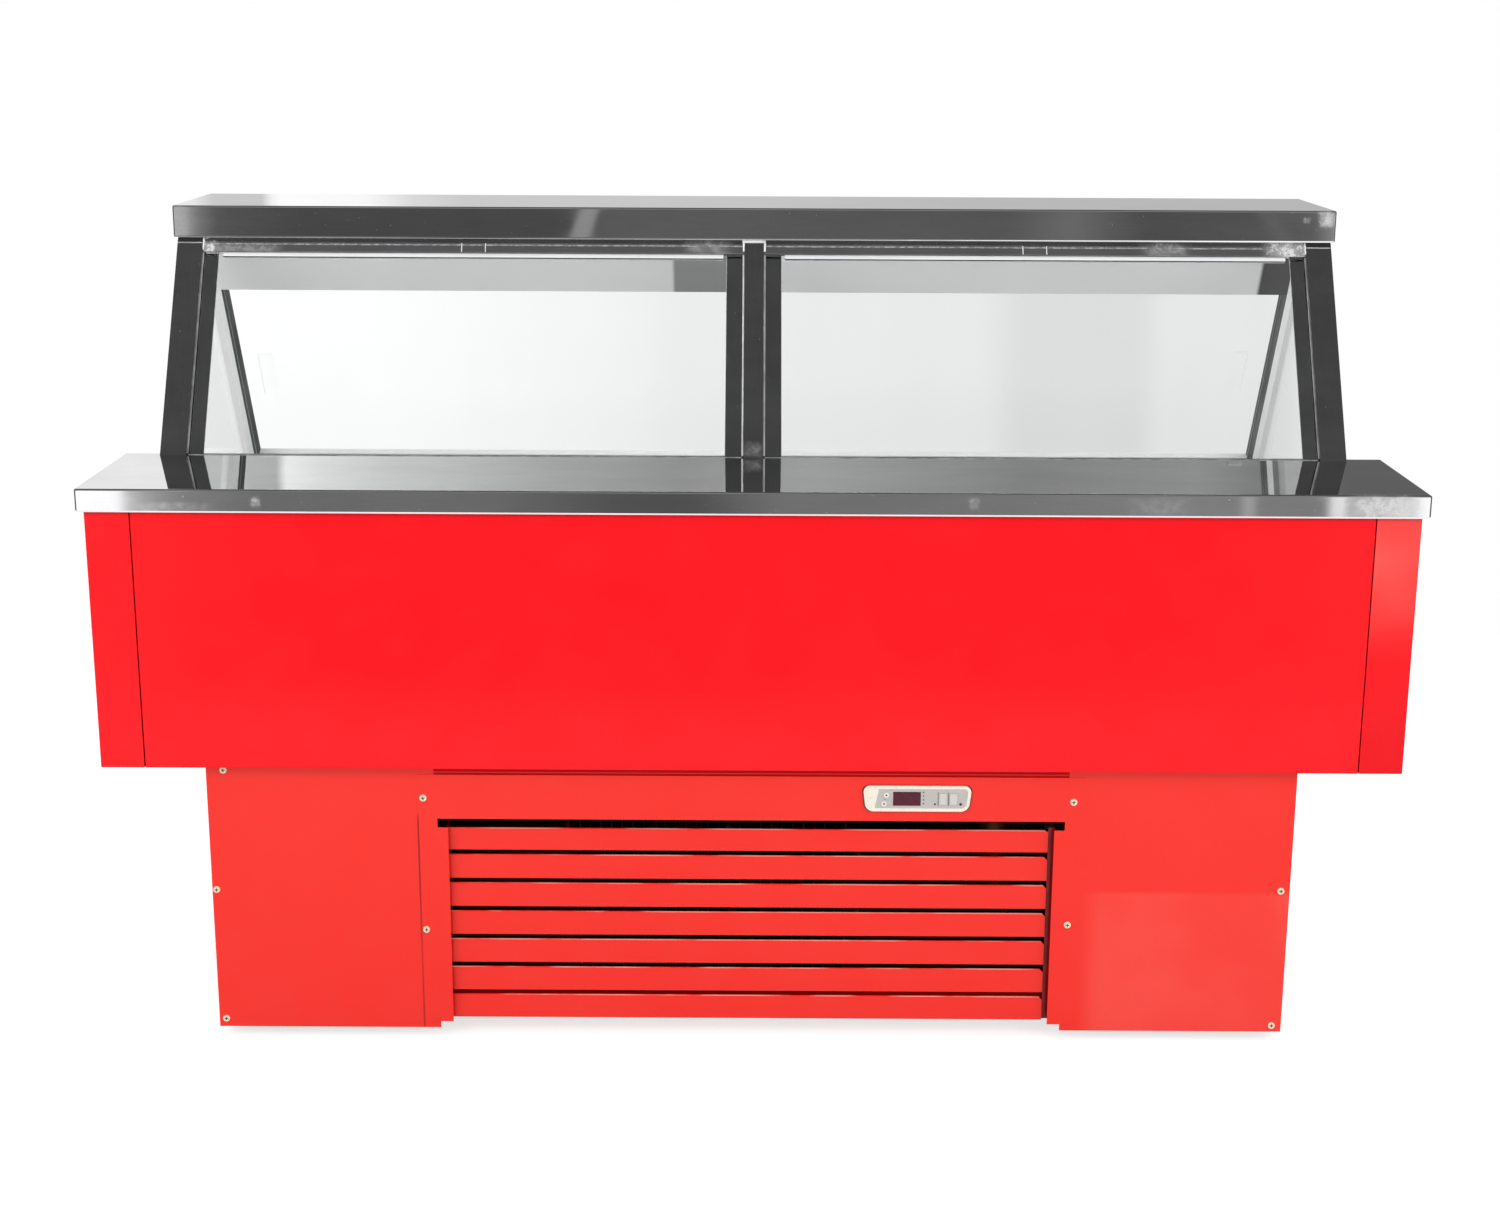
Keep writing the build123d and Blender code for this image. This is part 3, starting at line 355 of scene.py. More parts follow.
# The condenser fins are darkened partly as dust and partly as painted shade behind the grille.
dust_and_shade_fins = speckled(
    "dust_and_shade_fins", 18, (0.030, 0.018, 0.017), (0.20, 0.075, 0.055), (0.55, 0.8),
    detail=5, stretch=(0.4, 1, 1.6), spread=(0.40, 0.65), metal=0.2,
)
copper = speckled(
    "copper_pipe", 40, (0.55, 0.20, 0.10), (0.80, 0.38, 0.24), (0.25, 0.45), detail=5, metal=1.0,
)
fan_plastic = speckled(
    "fan_plastic", 90, (0.02, 0.02, 0.022), (0.04, 0.04, 0.043), (0.35, 0.5), grain=(1200, 0.15, 0.0003),
)
grey_plastic = speckled(
    "grey_plastic", 70, (0.30, 0.31, 0.32), (0.40, 0.41, 0.42), (0.35, 0.5), grain=(1000, 0.15, 0.0003),
)
finish_node(machine_black, "compressor", "condenser_fan_motor")
finish_node(dust_and_shade_fins, "condenser")
finish_node(fan_plastic, "condenser_fan")
finish_node(copper, "refrigerant_circuit")
finish_node(grey_plastic, "electrical_box", "cable_gland", "drain_pipe")


# Panels of the base
# Flat painted steel sheets screwed to the frame: two at the front, two ends, and a back with
# slots for the air. The paint is glossy and a touch more orange than on the body above.
def new_block(name, low, high, slope=Matrix()):
    """A cube at its size and place, in a leaning frame if one is given, alone selected."""
    low = Vector(low)
    high = Vector(high)
    bpy.ops.mesh.primitive_cube_add(
        size=1, scale=high - low,
        location=slope @ ((low + high) / 2), rotation=slope.to_euler(),
    )
    piece = bpy.context.object
    piece.name = name
    settle()
    return piece


def choose(piece, kind, wanted):
    """Edit mode, with only the wanted faces or edges selected."""
    bpy.context.view_layer.objects.active = piece
    bpy.ops.object.mode_set(mode="EDIT")
    bpy.ops.mesh.select_mode(type=kind)
    bpy.ops.mesh.select_all(action="DESELECT")
    shape = bmesh.from_edit_mesh(piece.data)
    for element in shape.faces if kind == "FACE" else shape.edges:
        if wanted(element):
            element.select_set(True)
    bmesh.update_edit_mesh(piece.data)


def facing(*way):
    """A test for the faces that look one way."""
    return lambda face: face.normal.dot(Vector(way)) > 0.9


def centre(element):
    """The middle of a face or edge."""
    return sum((corner.co for corner in element.verts), Vector()) / len(element.verts)


def leave_edit():
    bpy.ops.object.mode_set(mode="OBJECT")


def edit(piece, kind, wanted, operation, **settings):
    """One operation on the wanted faces or edges of a piece."""
    choose(piece, kind, wanted)
    operation(**settings)
    leave_edit()


def cut(piece, point, normal, drop=False):
    """A straight cut through the whole piece; drop takes away the side that the normal looks to."""
    plane = {"plane_co": point, "plane_no": normal}
    edit(piece, "FACE", lambda face: True, bpy.ops.mesh.bisect, use_fill=drop, clear_outer=drop, **plane)


def remove_faces(piece, wanted):
    """The piece without the wanted faces."""
    edit(piece, "FACE", wanted, bpy.ops.mesh.delete, type="FACE")


def apply_modifier(piece, modifier):
    bpy.context.view_layer.objects.active = piece
    bpy.ops.object.modifier_apply(modifier=modifier.name)


def thicken(piece, sheet):
    """A skin made into sheet metal, its thickness inwards."""
    wall = piece.modifiers.new("wall", "SOLIDIFY")
    wall.thickness = sheet
    wall.offset = -1
    wall.use_even_offset = True
    apply_modifier(piece, wall)


def soften(piece, width, segments=2):
    """Sharp edges rounded off."""
    edge = piece.modifiers.new("soft_edges", "BEVEL")
    edge.width = width
    edge.segments = segments
    edge.limit_method = "ANGLE"
    edge.angle_limit = math.radians(40)
    apply_modifier(piece, edge)


def pick(piece):
    """One piece selected alone."""
    bpy.ops.object.select_all(action="DESELECT")
    piece.select_set(True)
    bpy.context.view_layer.objects.active = piece


def finish_piece(piece, material, slot, *nodes, body="case"):
    """Smooth shading that keeps flat faces flat, the finish, and the piece's place in the frame."""
    pick(piece)
    bpy.ops.object.shade_smooth_by_angle(angle=math.radians(40))
    flat = piece.modifiers.new("flat_faces", "WEIGHTED_NORMAL")
    flat.keep_sharp = True
    flat.weight = 100
    apply_modifier(piece, flat)
    if material is not None:
        piece.data.materials.clear()
        piece.data.materials.append(material)
    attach(piece, body)
    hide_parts(*nodes)


def patch(tree, low, high, soft, ragged=0.0):
    """One inside a box on the piece and nought outside it, soft for each axis, perhaps ragged."""
    place = on_piece(tree)
    if ragged:
        cloud = put(tree, "ShaderNodeTexNoise", Vector=place, Scale=130.0, Detail=4.0)
        shaken = tree.nodes.new("ShaderNodeVectorMath")
        shaken.operation = "MULTIPLY_ADD"
        for socket, value in zip(shaken.inputs, (cloud.outputs["Color"], [ragged] * 3, place)):
            plug(socket, value)
        place = shaken.outputs["Vector"]
    inside = 1.0
    axes = put(tree, "ShaderNodeSeparateXYZ", Vector=place).outputs
    for axis, start, end, blur in zip(axes, low, high, soft):
        side = band(axis, start + ragged / 2, end + ragged / 2, blur)
        inside = times(inside, side)
    return inside


def looking(tree, axis):
    """How far the surface looks along an axis."""
    normal = tree.nodes.new("ShaderNodeNewGeometry").outputs["Normal"]
    return put(tree, "ShaderNodeSeparateXYZ", Vector=normal).outputs[axis]


def red_paint(name, deep, light, painted_light_marks=(), wear_and_highlight=0.0, mirror=0.3):
    """Glossy red stove enamel with a slight orange peel, on sheet that isn't quite flat.

    Marks are boxes on the piece, with a softness and a colour, where a lighter or darker colour is painted in
    as painted reflection and painted shade.
    Wear_and_highlight is how strongly a pale pink painted highlight is laid on edges that look up, and
    mirror is how strongly it reflects.
    """
    material, tree, shader = start_material(name)
    paint = mix_colours(noise(tree, 2.2, detail=2), (*deep, 1), (*light, 1))
    cloud = between(noise(tree, 4.5, detail=2), 0.35, 0.62, 0.4, 0.9)
    # Painted light: each mark mixes a lighter or darker colour into a cloudy box.
    for low, high, soft, mark in painted_light_marks:
        share = times(patch(tree, low, high, soft), cloud)
        paint = mix_colours(share, paint, (*mark, 1))
    # A painted highlight: pale pink on edges that look up, broken into patches by noise.
    if wear_and_highlight:
        highlight_breakup = between(noise(tree, 9, stretch=(1, 3, 3), detail=4), 0.42, 0.58)
        share = times(between(looking(tree, "Z"), 0.25, 0.7), highlight_breakup)
        paint = mix_colours(times(share, wear_and_highlight), paint, (0.95, 0.42, 0.34, 1))
    feed(shader, Base_Color=paint, Specular_IOR_Level=mirror)
    sheen(shader, noise(tree, 14, detail=5), 0.13, 0.22)
    peel = times(noise(tree, 420, detail=2), 0.02)
    waves = noise(tree, 3.5, detail=1)
    relief(shader, combine("ADD", peel, waves), 0.35, 0.004)
    return material


sheet_edge = 0.0004
base_deep = (0.94, 0.020, 0.011)
base_light = (0.97, 0.030, 0.019)
base_red = red_paint("base_red", base_deep, base_light, painted_light_marks=[
    # A paler patch low on the right panel is a painted reflection; a dark line just left of the grille's edge
    # is painted shade.
    ((0.53, -1, -1), (0.90, -0.495, 0.250), (0.022, 0.001, 0.004), (0.98, 0.070, 0.052)),
    ((-0.5144, -1, 0.0), (-0.5116, -0.495, 0.37), (0.0003, 0.001, 0.01), (0.36, 0.004, 0.006)),
])

for node_name in ("base_left_panel", "base_right_panel"):
    low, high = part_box(node_name)
    panel = new_block(node_name + "_sheet", low, high)
    soften(panel, sheet_edge)
    finish_piece(panel, base_red, "red_base", node_name)

low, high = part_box("base_end_panels")
end_sheet = 0.0012
for side in (-1, 1):
    edges = sorted((side * high.x, side * (high.x - end_sheet)))
    panel = new_block(
        "base_end_sheet_left" if side < 0 else "base_end_sheet_right",
        (edges[0], low.y, low.z), (edges[1], high.y, high.z),
    )
    soften(panel, sheet_edge)
    finish_piece(panel, base_red, "red_base", "base_end_panels")
finish_node(base_red, "base_rear_panel")


# Grille
# One red sheet cut to a fascia and two stiles, laid over the side panels. Seven folded slats
# hang behind it between two rails, with open gaps that the condenser breathes through.
low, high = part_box("grille_panel")
opening_half = 0.467
slot_half = 0.483
slot_low = 0.352
slot_high = 0.3663
sheet_steel = 0.0012
grille = new_block("grille_sheet", low, high)
for edge_x in (-slot_half, -opening_half, opening_half, slot_half):
    cut(grille, (edge_x, 0, 0), (1, 0, 0))
for edge_z in (slot_low, slot_high):
    cut(grille, (0, 0, edge_z), (0, 0, 1))
remove_faces(grille, lambda face: not facing(0, -1, 0)(face))


def in_opening(face):
    """Whether a part of the sheet lies in the opening for the slats or in the slot above them."""
    spot = centre(face)
    in_slot = abs(spot.x) < slot_half and slot_low < spot.z < slot_high
    return in_slot or (abs(spot.x) < opening_half and spot.z < slot_low)


remove_faces(grille, in_opening)
thicken(grille, sheet_steel)
finish_piece(grille, base_red, "red_base", "grille_panel")

# The rails and the lip are a much darker red than the grille, as painted shade deep behind the slats.
shaded_rail_red = red_paint("shaded_rail_red", (0.22, 0.002, 0.003), (0.32, 0.004, 0.005))
finish_node(shaded_rail_red, "louvre_rails")

low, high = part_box("louvre_slats")
lip_width = 0.0095
lip_recess = 0.006
slat_play = 0.0007
slat_end = high.x - lip_width
rail_lip = new_block(
    "louvre_rail_lip", (slat_end + slat_play, low.y + lip_recess, low.z),
    (high.x, low.y + lip_recess + sheet_steel, high.z),
)
soften(rail_lip, sheet_edge)
finish_piece(rail_lip, shaded_rail_red, "red_base")
slat_count = 7
slat_gap = 0.0075
slat_pitch = (high.z - low.z + slat_gap) / slat_count
slat_height = slat_pitch - slat_gap
slat_corner = 0.005
top_drop = 0.003
upper_lip = 0.0028
slat_bend = 0.0016


def is_bend(edge):
    """Whether an edge is a bend between two faces of a folded sheet."""
    return len(edge.link_faces) == 2 and edge.calc_face_angle() > 1


def round_off(piece, kind, wanted, radius, segments=3):
    """The wanted edges, or the rims of the wanted faces, rounded."""
    edit(piece, kind, wanted, bpy.ops.mesh.bevel, offset=radius, segments=segments, affect="EDGES")


slat_red = red_paint("slat_red", base_deep, base_light, wear_and_highlight=0.8)
slat = new_block("louvre_slat_1", low, (slat_end, high.y, low.z + slat_height))
remove_faces(slat, lambda face: abs(face.normal.x) > 0.9 or face.normal.y > 0.9)
edit(slat, "EDGE", lambda edge: (
    centre(edge).y > high.y - sheet_steel and centre(edge).z > low.z + slat_height / 2
), bpy.ops.transform.translate, value=(0, upper_lip - (high.y - low.y), 0))
round_off(slat, "EDGE", is_bend, slat_bend)
thicken(slat, sheet_steel)
cut(slat, (slat_end - slat_corner, 0, low.z + slat_height), (1, 0, 1), drop=True)


def copy_piece(piece, name, shift):
    """A copy with its own mesh, moved to its place."""
    pick(piece)
    bpy.ops.object.duplicate(linked=False)
    twin = bpy.context.object
    twin.name = name
    bpy.ops.transform.translate(value=shift)
    settle()
    return twin


slats = [slat]
for number in range(1, slat_count):
    slats.append(copy_piece(slat, f"louvre_slat_{number + 1}", (0, 0, number * slat_pitch)))
edit(slats[-1], "EDGE", lambda edge: (
    min(end.co.z for end in edge.verts) > high.z - 0.9 * slat_corner
), bpy.ops.transform.translate, value=(0, 0, -top_drop))
for slat in slats:
    finish_piece(slat, slat_red, "red_base", "louvre_slats")


# Panel screws
# Zinc-plated pan-head screws with a cross recess, one at each corner or edge of the front
# panels. The plating has gone yellow, and the recesses are painted dark as shade.
plated_screw = speckled(
    "plated_screw", 420, (0.80, 0.62, 0.32), (1.0, 0.94, 0.78), (0.3, 0.45),
    detail=3, spread=(0.35, 0.65), metal=0.2,
)
# Near black, used as painted shade in recesses, grooves and under the rails, and as print for dots and marks.
dark_shade_and_print = speckled("dark_shade_and_print", 500, (0.02, 0.018, 0.02), (0.05, 0.045, 0.05), (0.5, 0.7), detail=3)


def new_cylinder(name, vertices, radius, depth, place):
    """A cylinder at its size and place, lying from front to back, alone selected."""
    bpy.ops.mesh.primitive_cylinder_add(
        vertices=vertices, radius=radius, depth=depth, location=place, rotation=(math.pi / 2, 0, 0),
    )
    piece = bpy.context.object
    piece.name = name
    settle()
    return piece


def carve(piece, tool, operation="DIFFERENCE", materials="INDEX"):
    """A tool taken out of a piece or joined to it; the tool is then thrown away."""
    change = piece.modifiers.new("carved", "BOOLEAN")
    change.object = tool
    change.operation = operation
    change.solver = "EXACT"
    change.material_mode = materials
    apply_modifier(piece, change)
    bpy.data.objects.remove(tool)


head_radius = 0.0055
head_height = 0.0025
head_round = 0.0013
base_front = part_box("base_left_panel")[0].y
grille_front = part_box("grille_panel")[0].y
screw_places = [
    (-0.809, 0.443, base_front), (-0.829, 0.248, base_front), (-0.825, 0.032, base_front),
    (0.822, 0.2545, base_front), (0.821, 0.029, base_front),
    (-0.504, 0.400, grille_front), (-0.505, 0.184, grille_front),
    (0.495, 0.3985, grille_front), (0.493, 0.197, grille_front),
]
screw_head = new_cylinder("screw_pattern", 32, head_radius, head_height, (0, -head_height / 2, 0))
round_off(screw_head, "FACE", facing(0, -1, 0), head_round, 4)
screw_head.data.materials.append(plated_screw)
recess_length = 0.0054
recess_width = 0.0015
recess_depth = 0.001
for wide, tall in ((recess_length, recess_width), (recess_width, recess_length)):
    recess = new_block(
        "recess", (-wide / 2, -2 * head_height, -tall / 2),
        (wide / 2, recess_depth - head_height, tall / 2),
    )
    # Painted shade: the recess walls take the near-black finish.
    recess.data.materials.append(dark_shade_and_print)
    carve(screw_head, recess, materials="TRANSFER")
for number, (x, z, seat) in enumerate(screw_places, 1):
    screw = copy_piece(screw_head, f"screw_head_{number}", (x, seat, z))
    finish_piece(screw, None, "plated_screw", "panel_screws")
bpy.data.objects.remove(screw_head)


# Temperature controller
# A moulded cream housing snapped into the fascia: a raised rim round a grey face, a dark display
# window, two round buttons, two oblong keys and small indicator dots. It sits on a thin dark gasket,
# whose edge round the housing is a painted shadow.
cream_plastic = speckled(
    "cream_plastic", 190, (0.84, 0.81, 0.65), (0.95, 0.90, 0.76), (0.3, 0.45),
    detail=5, spread=(0.30, 0.5), grain=(2400, 0.2, 0.0002),
)
face_film = speckled(
    "grey_face_film", 300, (0.48, 0.47, 0.44), (0.62, 0.59, 0.57), (0.35, 0.5), grain=(3000, 0.2, 0.0002),
)

bezel_low, bezel_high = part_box("controller_body")
bezel_face = bezel_low.y
bezel_x = (bezel_low.x + bezel_high.x) / 2
bezel_z = (bezel_low.z + bezel_high.z) / 2
corner_round = 0.012
rim_width = 0.0048
rim_rise = 0.0008
housing_half = (0.073, 0.0135)
lower_share = 0.94
gasket_sheet = 0.0005
shadow_margin = 0.0018


def moulded_plate(name, low, high, corner):
    """A plate with round corners whose ends lean in towards its lower edge."""
    plate = new_block(name, low, high)
    narrow = {"value": (lower_share, 1, 1), "center_override": (low + high) / 2}
    edit(plate, "FACE", facing(0, 0, -1), bpy.ops.transform.resize, **narrow)
    round_off(plate, "EDGE", lambda edge: (
        abs((edge.verts[0].co - edge.verts[1].co).y) > gasket_sheet / 2
    ), corner, 10)
    return plate


def bezel_block(name, x, half, front, back, margin=0.0):
    """A block in line with the housing: its middle, half its width and height, its front and back."""
    return new_block(
        name, (bezel_x + x - half[0] - margin, front, bezel_z - half[1] - margin),
        (bezel_x + x + half[0] + margin, back, bezel_z + half[1] + margin),
    )


controller = moulded_plate(
    "controller_housing", bezel_low, Vector((bezel_high.x, grille_front - gasket_sheet, bezel_high.z)),
    corner_round,
)
choose(controller, "FACE", facing(0, -1, 0))
bpy.ops.mesh.inset(thickness=rim_width)
bpy.ops.mesh.extrude_region_move(TRANSFORM_OT_translate={"value": (0, rim_rise, 0)})
film_end = Vector((bezel_x - 0.0622, bezel_face, bezel_z))
film_slant = Vector((0.98, 0, -0.20))
bpy.ops.mesh.bisect(plane_co=film_end, plane_no=film_slant)
leave_edit()
soften(controller, 0.0006, 3)
overlap = 0.001
back_box = bezel_block("controller_back", 0, housing_half, grille_front - overlap, bezel_high.y)
carve(controller, back_box, "UNION")

press_fit = 0.0002
pocket_depth = 0.005
button_radius = 0.004
button_sides = 40
button_spots = ((-0.0475, 0.006), (-0.051, -0.008))
key_half = (0.006, 0.009)
key_spots = (0.0395, 0.0555)
cutters = []
for x, z in button_spots:
    cutters.append(new_cylinder(
        "button_pocket", button_sides, button_radius + press_fit, 2 * pocket_depth,
        (bezel_x + x, bezel_face, bezel_z + z),
    ))
for x in key_spots:
    cutters.append(bezel_block(
        "key_pocket", x, key_half, bezel_face - pocket_depth, bezel_face + pocket_depth, press_fit,
    ))
window_low, window_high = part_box("controller_display")
cutters.append(new_block(
    "window_pocket", window_low - Vector((press_fit, 2 * overlap, press_fit)),
    window_high + Vector((press_fit, 0, press_fit)),
))
groove_half = (0.0004, 0.0112)
groove_depth = 0.0005
for x in (0.0317, 0.0477):
    cutters.append(bezel_block(
        "divider", x, groove_half, bezel_face - overlap, bezel_face + rim_rise + groove_depth,
    ))


def two_finishes(piece, main, other, on_other):
    """One finish all over the piece, and another on the faces that a test picks."""
    piece.data.materials.append(main)
    piece.data.materials.append(other)
    for face in piece.data.polygons:
        face.material_index = 1 if on_other(face) else 0


def on_film(face):
    """Whether a face of the housing is under the grey film."""
    sunk = face.normal.y < -0.9 and face.center.y > bezel_face + rim_rise / 2
    return sunk and (face.center - film_end).dot(film_slant) > 0


two_finishes(controller, cream_plastic, face_film, on_film)
controller.data.materials.append(dark_shade_and_print)
# The walls of the pockets and of the grooves between the keys are painted dark as shade.
for cutter in cutters:
    cutter.data.materials.append(dark_shade_and_print)
    carve(controller, cutter, materials="TRANSFER")
finish_piece(controller, None, "controller_plastic", "controller_body")

# The dark gasket's edge, just wider than the housing, is a painted shadow round it.
shadow_gasket = moulded_plate(
    "controller_shadow_gasket",
    Vector((bezel_low.x - shadow_margin, grille_front - gasket_sheet, bezel_low.z - shadow_margin)),
    Vector((bezel_high.x + shadow_margin, grille_front, bezel_high.z + shadow_margin / 3)),
    corner_round,
)
carve(shadow_gasket, bezel_block(
    "gasket_passage", 0, housing_half, grille_front - 2 * overlap, grille_front + 2 * overlap, press_fit,
))
finish_piece(shadow_gasket, dark_shade_and_print, "black_rubber")

display_glass, tree, shader = start_material("display_window")
glow = noise(tree, 160, detail=2)
colour(shader, glow, (0.075, 0.010, 0.022), (0.125, 0.022, 0.045))
feed(shader, Roughness=0.12, Specular_IOR_Level=0.15)
window = new_block("display_window", window_low, window_high)
soften(window, 0.0005)
finish_piece(window, display_glass, "display_window", "controller_display")


def push(piece, wanted, move, margin=0.0):
    """The wanted faces pushed in or out, inside a margin if one is given."""
    choose(piece, "FACE", wanted)
    if margin:
        bpy.ops.mesh.inset(thickness=margin)
    bpy.ops.mesh.extrude_region_move(TRANSFORM_OT_translate={"value": move})
    leave_edit()


button_plastic = speckled(
    "button_plastic", 400, (0.86, 0.85, 0.82), (0.95, 0.94, 0.92), (0.3, 0.4), detail=3,
)
button_rim = 0.0024
button_dip = 0.0005
button_mark = 0.0016
for node_name, body in (("button_up", "up_button"), ("button_down", "down_button")):
    low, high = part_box(node_name)
    middle = (low + high) / 2
    button = new_cylinder(node_name + "_cap", button_sides, (high.x - low.x) / 2, high.y - low.y, middle)
    push(button, facing(0, -1, 0), (0, button_dip, 0), button_rim)
    soften(button, 0.0003)
    two_finishes(button, button_plastic, dark_shade_and_print, lambda face: (
        face.normal.y < -0.5 and (Vector(face.center) - middle).xz.length < button_mark
    ))
    finish_piece(button, None, "button_plastic", node_name, body=body)

key_plastic = speckled("key_plastic", 400, (0.60, 0.60, 0.57), (0.74, 0.73, 0.70), (0.3, 0.4), detail=3)
key_rim = 0.0016
key_dip = 0.0004
for node_name, body in (("key_left", "left_key"), ("key_right", "right_key")):
    low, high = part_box(node_name)
    key = new_block(node_name + "_cap", low, high)
    push(key, facing(0, -1, 0), (0, key_dip, 0), key_rim)
    soften(key, 0.0005, 3)
    finish_piece(key, key_plastic, "key_plastic", node_name, body=body)

dot_radius = 0.0011
dot_flat = 0.3
dot_spots = [
    (0.0095, 0.0105, dot_radius), (0.0095, 0.0045, dot_radius), (0.0095, -0.0015, dot_radius),
    (0.0095, -0.0075, dot_radius), (0.0272, -0.0085, 0.0016), (0.0665, -0.0085, 0.0022),
    (-0.0495, -0.001, 0.0008),
]
plate_y = bezel_face + rim_rise
for number, (x, z, radius) in enumerate(dot_spots, 1):
    bpy.ops.mesh.primitive_uv_sphere_add(
        segments=20, ring_count=10, radius=radius, location=(bezel_x + x, plate_y, bezel_z + z),
    )
    dot = bpy.context.object
    dot.scale = (1, dot_flat, 1)
    settle()
    cut(dot, (0, plate_y + 0.0001, 0), (0, 1, 0), drop=True)
    dot.name = f"indicator_dot_{number}"
    finish_piece(dot, dark_shade_and_print, "display_window")


# Body of the case
# Foamed tub between painted skins: a flat front panel with returns, end panels that wrap round
# the front corners, a back and an underside. Steel ribs inside carry the ledge.
foam_board = speckled(
    "foam_board", 500, (0.62, 0.56, 0.38), (0.78, 0.72, 0.52), (0.8, 0.95), grain=(None, 0.5, 0.001),
)
finish_node(foam_board, "tub_insulation")

zinc_sheet, tree, shader = start_material("zinc_sheet")
spangle = put(tree, "ShaderNodeTexVoronoi", Vector=on_piece(tree), Scale=70)
colour(shader, spangle.outputs["Distance"], (0.42, 0.44, 0.46), (0.66, 0.68, 0.70))
feed(shader, Metallic=1.0)
sheen(shader, noise(tree, 30), 0.32, 0.5)
finish_node(zinc_sheet, "underside_panel", "ledge_ribs")

body_red = red_paint("body_red", (0.94, 0.006, 0.011), (0.97, 0.010, 0.016), painted_light_marks=[
    # On the front flange of the right end panel, a lighter band high up is a painted reflection and a darker
    # band low down is painted shade.
    ((0.923, -1, 0.71), (1.1, -0.514, 1.0), (0.001, 0.001, 0.09), (0.98, 0.145, 0.125)),
    ((0.923, -1, 0.0), (1.1, -0.514, 0.56), (0.001, 0.001, 0.07), (0.84, 0.002, 0.008)),
], mirror=0.18)
bend = 0.0018
seam = 0.00025
low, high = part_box("front_panel")
panel = new_block("front_panel_sheet", low + Vector((seam, 0, 0)), high - Vector((seam, 0, 0)))
remove_faces(panel, lambda face: abs(face.normal.z) > 0.9 or face.normal.y > 0.9)
round_off(panel, "EDGE", is_bend, bend)
thicken(panel, sheet_steel)
finish_piece(panel, body_red, "red_body", "front_panel")


def finish_pair(piece, twin_name, material, slot, node, twin_node=None):
    """A piece of the right end, finished together with a mirrored copy for the left end."""
    twin = copy_piece(piece, twin_name, (0, 0, 0))
    twin.scale.x = -1
    settle()
    edit(twin, "FACE", lambda face: True, bpy.ops.mesh.normals_make_consistent, inside=False)
    finish_piece(piece, material, slot, node)
    finish_piece(twin, material, slot, twin_node or node)


low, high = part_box("end_panel_right")
step_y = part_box("tub_liner")[0].y + 0.001
step_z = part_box("rear_panel")[1].z
end_panel = new_block("end_panel_right_sheet", low, high)
cut(end_panel, (0, step_y, 0), (0, 1, 0))
cut(end_panel, (0, 0, step_z), (0, 0, 1))
remove_faces(end_panel, lambda face: centre(face).y > step_y and centre(face).z > step_z)
remove_faces(end_panel, lambda face: not (facing(1, 0, 0)(face) or facing(0, -1, 0)(face)))
round_off(end_panel, "EDGE", is_bend, bend)
thicken(end_panel, sheet_steel)
finish_pair(
    end_panel, "end_panel_left_sheet", body_red, "red_body", "end_panel_right", "end_panel_left",
)
finish_node(body_red, "rear_panel")


# Stainless steel of the ledge and worktop
# Bright-rolled sheet, folded and ground at the corners. It mirrors the room, with long faint
# grain along the case, cloudy wipe marks and a few pale scuffs along the front.
def bright_steel(
    name, dull, bright, grain=(0.6, 40, 40), rough=(0.015, 0.045), depth=(0, 0), scuffs_and_highlights=(),
):
    """Bright-rolled stainless sheet, its grain stretched by a scale for each axis.

    Scuffs_and_highlights are dull pale places on the front, and thin painted highlights: left, right,
    bottom, top and strength. Depth is the range from front to back in which they lie.
    """
    material, tree, shader = start_material(name)
    wiped = noise(tree, 5, stretch=(1.0, 2.0, 3.0), detail=5, rough=0.6)
    lines = noise(tree, 30, stretch=grain, detail=3)
    tone = combine("ADD", times(wiped, 0.7), times(lines, 0.3))
    clean = mix_colours(between(tone, 0.3, 0.7), (*dull, 1), (*bright, 1))
    wear_and_highlight = between(noise(tree, 260, detail=2), 0.73, 0.78, 0.0, 0.5)
    for left, right, bottom, top, strength in scuffs_and_highlights:
        wide = right - left
        tall = top - bottom
        soft = (min(0.3 * wide, 0.02), 0.01, 0.3 * tall)
        ragged = min(0.6 * wide, 0.6 * tall, 0.015)
        spot = patch(tree, (left, depth[0], bottom), (right, depth[1], top), soft, ragged)
        wear_and_highlight = combine("MAXIMUM", wear_and_highlight, times(spot, strength))
    mottle = between(noise(tree, 80, detail=6, rough=0.65), 0.42, 0.60, 0.4, 1.0)
    wear_and_highlight = times(wear_and_highlight, mottle)
    bare = combine("SUBTRACT", 1.0, times(wear_and_highlight, 0.8))
    gloss = between(wiped, 0.3, 0.7, *rough)
    gloss = combine("ADD", gloss, times(wear_and_highlight, 0.4))
    tone = mix_colours(wear_and_highlight, clean, grey(0.88))
    feed(shader, Base_Color=tone, Metallic=bare, Roughness=gloss)
    ripple = combine("ADD", noise(tree, 5, detail=1), times(lines, 0.01))
    relief(shader, ripple, 0.1, 0.0015)
    return material


ledge_steel = bright_steel(
    "ledge_steel", (0.66, 0.66, 0.67), (0.76, 0.76, 0.77), depth=(-0.53, -0.52), scuffs_and_highlights=[
        (-0.739, -0.726, 0.860, 0.874, 0.5), (0.319, 0.332, 0.863, 0.877, 0.5),
        (0.885, 0.968, 0.853, 0.884, 0.65), (-0.90, -0.80, 0.853, 0.866, 0.18),
        (0.56, 0.64, 0.855, 0.880, 0.2),
    ],
)
steel_sheet = 0.0015
fold_round = 0.003


